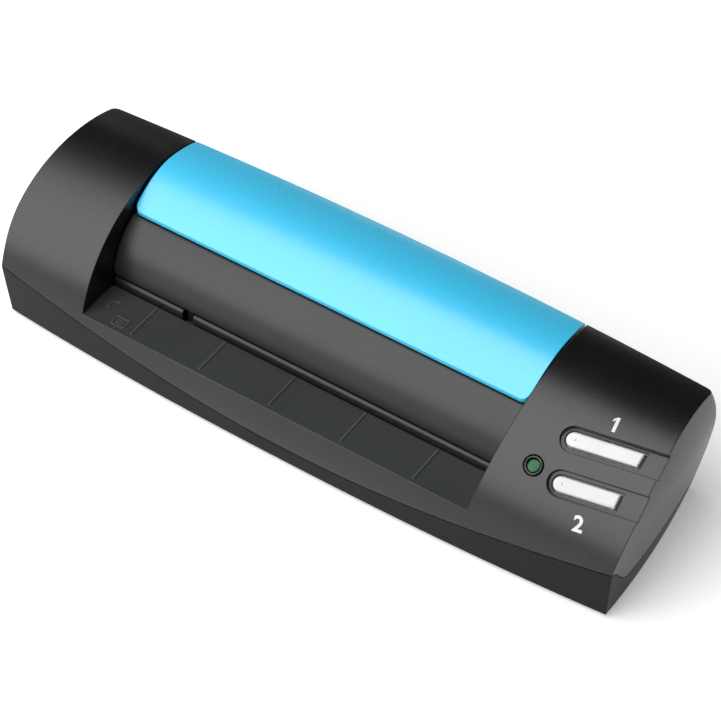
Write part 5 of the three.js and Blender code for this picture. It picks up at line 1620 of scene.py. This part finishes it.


# Each moulded finish: its colour, the grains per metre and their depth, the radius that softens its
# edges, and how much paler these are worn. The base is duller than the case, and the tray has a coarse
# grain. The crowns of its ribs and the raised marks take a paler grey, a painted highlight, and the
# flag is near-black, which darkens the notch it stands in.
MOULDED = {
    "black_plastic": dict(base="black", rough=0.31, grain=5200.0, depth=0.00002, edge=0.0003, wear=0.5),
    "base_plastic": dict(base="black", rough=0.38, grain=5200.0, depth=0.00002, edge=0.0003, wear=0.5),
    "tray_grain": dict(base="tray", rough=0.52, grain=3800.0, depth=0.00004, edge=0.0002, wear=1.2),
    # Painted highlight on the crowns of the ribs and on the raised marks
    "tray_rub": dict(base="rub", rough=0.42, grain=3800.0, depth=0.00002, edge=0.0001, wear=0.2),
    "grey_plastic": dict(base="grey", rough=0.36, grain=5200.0, depth=0.00002, edge=0.0002, wear=0.4),
    "blue_plastic": dict(
        base="blue", rough=0.3, grain=4200.0, depth=0.00001, edge=0.0003, wear=0.02, cloudy=0.015,
    ),
    "key_plastic": dict(base="key", rough=0.34, grain=4200.0, depth=0.00001, edge=0.0002, wear=0.03),
    "soft_rubber": dict(base="rubber", rough=0.78, grain=3000.0, depth=0.00006, edge=0.0002, wear=0.6),
    "natural_nylon": dict(base="nylon", rough=0.5, grain=2600.0, depth=0.00003, edge=0.0001, wear=0.04),
    "dark_acetal": dict(base="acetal", rough=0.6, grain=2600.0, depth=0.00003, edge=0.0001, wear=0.2),
    "white_resin": dict(base="resin", rough=0.48, grain=2600.0, depth=0.00002, edge=0.0001, wear=0.03),
}

# What some of them set besides
EXTRA_SOCKETS = {
    "black_plastic": dict(Specular_IOR_Level=0.6),
    "base_plastic": dict(Specular_IOR_Level=0.1),
    "blue_plastic": dict(
        Subsurface_Weight=0.12, Subsurface_Scale=0.002, Subsurface_Radius=(0.3, 0.8, 1.0), Specular_IOR_Level=0.9,
    ),
    "natural_nylon": dict(Subsurface_Weight=0.15, Subsurface_Scale=0.0015),
}

# The other finishes, each with the colour that it takes, if any
MADE = {
    "bright_steel": (drawn_steel, None),
    "solder_mask": (board_green, None),
    "scan_glass": (clear_glass, None),
    "green_lens": (lamp_green, "lamp"),
    "ink": (printed, "sign"),
    "gilt": (gilt, None),
}

# The finish of each material slot that the inner CAD parts use
SLOT_FINISHES = {
    "case_black": "black_plastic",
    "guide_grey": "grey_plastic",
    "rubber_black": "soft_rubber",
    "steel": "bright_steel",
    "nylon": "natural_nylon",
    "board_green": "solder_mask",
    "glass": "scan_glass",
    "white_plastic": "white_resin",
}


def look(finish, name):
    """The material of that name, made once."""
    if name in bpy.data.materials:
        return bpy.data.materials[name]
    shader = Shader(name)
    if name in MOULDED:
        values = dict(MOULDED[name])
        moulded(shader, getattr(finish, values.pop("base")), **values)
        shader.set(**EXTRA_SOCKETS.get(name, {}))
    else:
        make, base = MADE[name]
        make(shader, *([getattr(finish, base)] if base else []))
    return shader.material


# Operators


class ScannerOperator(bpy.types.Operator):
    """Base of the scanner's operators"""

    bl_options = {"REGISTER", "UNDO"}


class SCANNER_OT_top_case(ScannerOperator):
    """Build the barrel case with its recess, tray, ribs and key channels"""

    bl_idname = "scanner.top_case"
    bl_label = "Top case"

    def execute(self, context):
        forms = context.scene
        piece = hand_in(forms, build_top_case(forms), "black_plastic", "case", ["top_case"])
        mark_tray(forms, piece)
        return {"FINISHED"}


class SCANNER_OT_base(ScannerOperator):
    """Build the base shell"""

    bl_idname = "scanner.base"
    bl_label = "Base shell"

    def execute(self, context):
        forms = context.scene
        hand_in(forms, build_base(forms), "base_plastic", "case", ["base_shell"])
        return {"FINISHED"}


class SCANNER_OT_guides(ScannerOperator):
    """Build the lower and the upper card guide"""

    bl_idname = "scanner.guides"
    bl_label = "Card guides"

    def execute(self, context):
        forms = context.scene
        hand_in(forms, build_lower_guide(forms), "grey_plastic", "case", ["card_guide"])
        hand_in(forms, build_upper_guide(forms), "grey_plastic", "case", ["upper_guide"])
        return {"FINISHED"}


class SCANNER_OT_cover(ScannerOperator):
    """Build the blue cover"""

    bl_idname = "scanner.cover"
    bl_label = "Blue cover"

    def execute(self, context):
        forms = context.scene
        hand_in(forms, build_cover(forms), "blue_plastic", "case", ["top_cover"])
        return {"FINISHED"}


class SCANNER_OT_keys(ScannerOperator):
    """Build the two key caps"""

    bl_idname = "scanner.keys"
    bl_label = "Keys"

    def execute(self, context):
        forms = context.scene
        for number in (1, 2):
            key = build_key(forms, number)
            hand_in(forms, key, "key_plastic", f"key_{number}", [f"button_{number}"])
        return {"FINISHED"}


class SCANNER_OT_lamp(ScannerOperator):
    """Build the lamp's lens and its ring"""

    bl_idname = "scanner.lamp"
    bl_label = "Lamp"

    def execute(self, context):
        forms = context.scene
        hand_in(forms, build_lamp_ring(forms), "black_plastic", "case", ["lamp_ring"])
        hand_in(forms, build_lens(forms), "green_lens", "case", ["lamp_lens"])
        return {"FINISHED"}


class SCANNER_OT_feet(ScannerOperator):
    """Build the rubber feet and the screws under the base"""

    bl_idname = "scanner.feet"
    bl_label = "Feet and screws"

    def execute(self, context):
        forms = context.scene
        small = forms.scanner_small
        for i, (x, y) in enumerate(foot_places(small), start=1):
            hand_in(forms, build_foot(forms, i, x, y), "soft_rubber", "case", [f"foot_{i}"])
        for i, (x, y) in enumerate(side_screws(small) + rear_screws(small), start=1):
            hand_in(forms, build_screw(forms, i, x, y), "bright_steel", "case")
        return {"FINISHED"}


class SCANNER_OT_inlet(ScannerOperator):
    """Build the cable inlet with its contacts"""

    bl_idname = "scanner.inlet"
    bl_label = "Cable inlet"

    def execute(self, context):
        forms = context.scene
        hand_in(forms, build_inlet(forms), "bright_steel", "case", ["cable_inlet"])
        hand_in(forms, build_contacts(forms), "gilt", "case")
        return {"FINISHED"}


class SCANNER_OT_signs(ScannerOperator):
    """Print the numerals beside the keys and raise the marks on the tray"""

    bl_idname = "scanner.signs"
    bl_label = "Printed signs"

    def execute(self, context):
        forms = context.scene
        small = forms.scanner_small
        for number, place in ((1, small.numeral_1), (2, small.numeral_2)):
            hand_in(forms, build_numeral(forms, number, *place), "ink", "case")
        # The raised marks take the painted highlight colour of the rib crowns
        hand_in(forms, build_card_mark(forms), "tray_rub", "case")
        hand_in(forms, build_arrow_mark(forms), "tray_rub", "case")
        return {"FINISHED"}


class SCANNER_OT_inside(ScannerOperator):
    """Give the inner parts their finishes"""

    bl_idname = "scanner.inside"
    bl_label = "Inner parts"

    def execute(self, context):
        for part in frame["record"]["subparts"]:
            node, slot = part["node"], part["material_slot"]
            if slot in SLOT_FINISHES and node in frame["nodes"]:
                # The card flag takes a near-black finish, which darkens the notch where it stands
                name = "dark_acetal" if node == "card_flag" else SLOT_FINISHES[slot]
                coat(frame["nodes"][node], look(context.scene.scanner_finish, name))
        return {"FINISHED"}


class SCANNER_OT_stage(ScannerOperator):
    """Set up the camera, the softboxes and the pale floor"""

    bl_idname = "scanner.stage"
    bl_label = "Stage"

    def execute(self, context):
        stage = context.scene.scanner_stage
        place_camera(stage)
        softbox("softbox", stage.box_place, stage.box_turn, (stage.box_across, stage.box_along), stage.box_power)
        softbox("low_lamp", stage.low_place, 0, (stage.low_across, stage.low_along), stage.low_power)
        even_room(stage)
        pale_floor(stage)
        return {"FINISHED"}


def place_camera(stage):
    """The camera at the photograph's angle."""
    camera = bpy.data.cameras.new("camera")
    camera.lens = stage.lens
    camera.sensor_width = 36.0
    camera.dof.use_dof = False
    holder = bpy.data.objects.new("camera", camera)
    holder.location = stage.camera
    holder.rotation_euler = (math.pi / 2 - stage.elevation, 0, stage.azimuth)
    bpy.context.scene.collection.objects.link(holder)
    bpy.context.scene.camera = holder


def softbox(name, place, turn, size, power):
    """A rectangular area lamp that looks at the object, turned about the line to it."""
    lamp = bpy.data.lights.new(name, "AREA")
    lamp.shape = "RECTANGLE"
    lamp.size, lamp.size_y = size
    lamp.energy = power
    holder = bpy.data.objects.new(name, lamp)
    away = Vector(place).normalized()
    right = Vector((0, 1, 0)).cross(away).normalized()
    aim = Matrix((right, away.cross(right), away)).transposed().to_4x4()
    holder.matrix_world = Matrix.Translation(place) @ aim @ Matrix.Rotation(turn, 4, "Z")
    holder.visible_camera = False
    bpy.context.scene.collection.objects.link(holder)


def seen_directly(nodes, links):
    """One where a ray comes from the camera, a mirror or through glass."""
    path = nodes.new("ShaderNodeLightPath")
    total = path.outputs["Is Camera Ray"]
    for key in ("Is Glossy Ray", "Is Transmission Ray"):
        joined = nodes.new("ShaderNodeMath")
        joined.operation = "MAXIMUM"
        links.new(total, joined.inputs[0])
        links.new(path.outputs[key], joined.inputs[1])
        total = joined.outputs[0]
    return total


def even_room(stage):
    """A dim room of one even grey."""
    world = bpy.data.worlds.new("room")
    bpy.context.scene.world = world
    world.use_nodes = True
    world.node_tree.nodes["Background"].inputs["Color"].default_value = (*stage.room, 1.0)
    bpy.context.scene.view_settings.view_transform = "Standard"


def pale_floor(stage):
    """A pale floor under the object, lifted to white where it is seen, with the object's shadow on it."""
    bm = bmesh.new()
    bmesh.ops.create_grid(bm, x_segments=1, y_segments=1, size=stage.floor_reach)
    floor = new_object("floor", bm)
    shader = Shader("floor")
    shader.set(Base_Color=(*stage.floor, 1.0), Roughness=0.9, Emission_Color=(1.0, 1.0, 1.0, 1.0))
    seen = seen_directly(shader.nodes, shader.links)
    shader.feed(Emission_Strength=shader.span(seen, 0.0, 1.0, 0.0, stage.floor_glow))
    floor.data.materials.append(shader.material)
    return floor


OPERATORS = (
    SCANNER_OT_top_case, SCANNER_OT_base, SCANNER_OT_guides, SCANNER_OT_cover, SCANNER_OT_keys, SCANNER_OT_lamp,
    SCANNER_OT_feet, SCANNER_OT_inlet, SCANNER_OT_signs, SCANNER_OT_inside, SCANNER_OT_stage,
)


class SCANNER_PT_panel(bpy.types.Panel):
    """Lists the scanner's sizes and its operators"""

    bl_label = "Business card scanner"
    bl_space_type = "VIEW_3D"
    bl_region_type = "UI"
    bl_category = "Scanner"

    def draw(self, context):
        for key, group in GROUPS.items():
            box = self.layout.box()
            box.label(text=group.__doc__)
            for name in group.__annotations__:
                box.prop(getattr(context.scene, key), name)
        for operator in OPERATORS:
            self.layout.operator(operator.bl_idname)


def register():
    for group in GROUPS.values():
        bpy.utils.register_class(group)
    for operator in OPERATORS:
        bpy.utils.register_class(operator)
    bpy.utils.register_class(SCANNER_PT_panel)
    for key, group in GROUPS.items():
        setattr(bpy.types.Scene, key, PointerProperty(type=group))


def unregister():
    for key in GROUPS:
        delattr(bpy.types.Scene, key)
    bpy.utils.unregister_class(SCANNER_PT_panel)
    for operator in reversed(OPERATORS):
        bpy.utils.unregister_class(operator)
    for group in reversed(GROUPS.values()):
        bpy.utils.unregister_class(group)


def main():
    """Builds everything in order."""
    register()
    for operator in OPERATORS:
        category, name = operator.bl_idname.split(".")
        getattr(getattr(bpy.ops, category), name)()


if __name__ == "__main__":
    main()
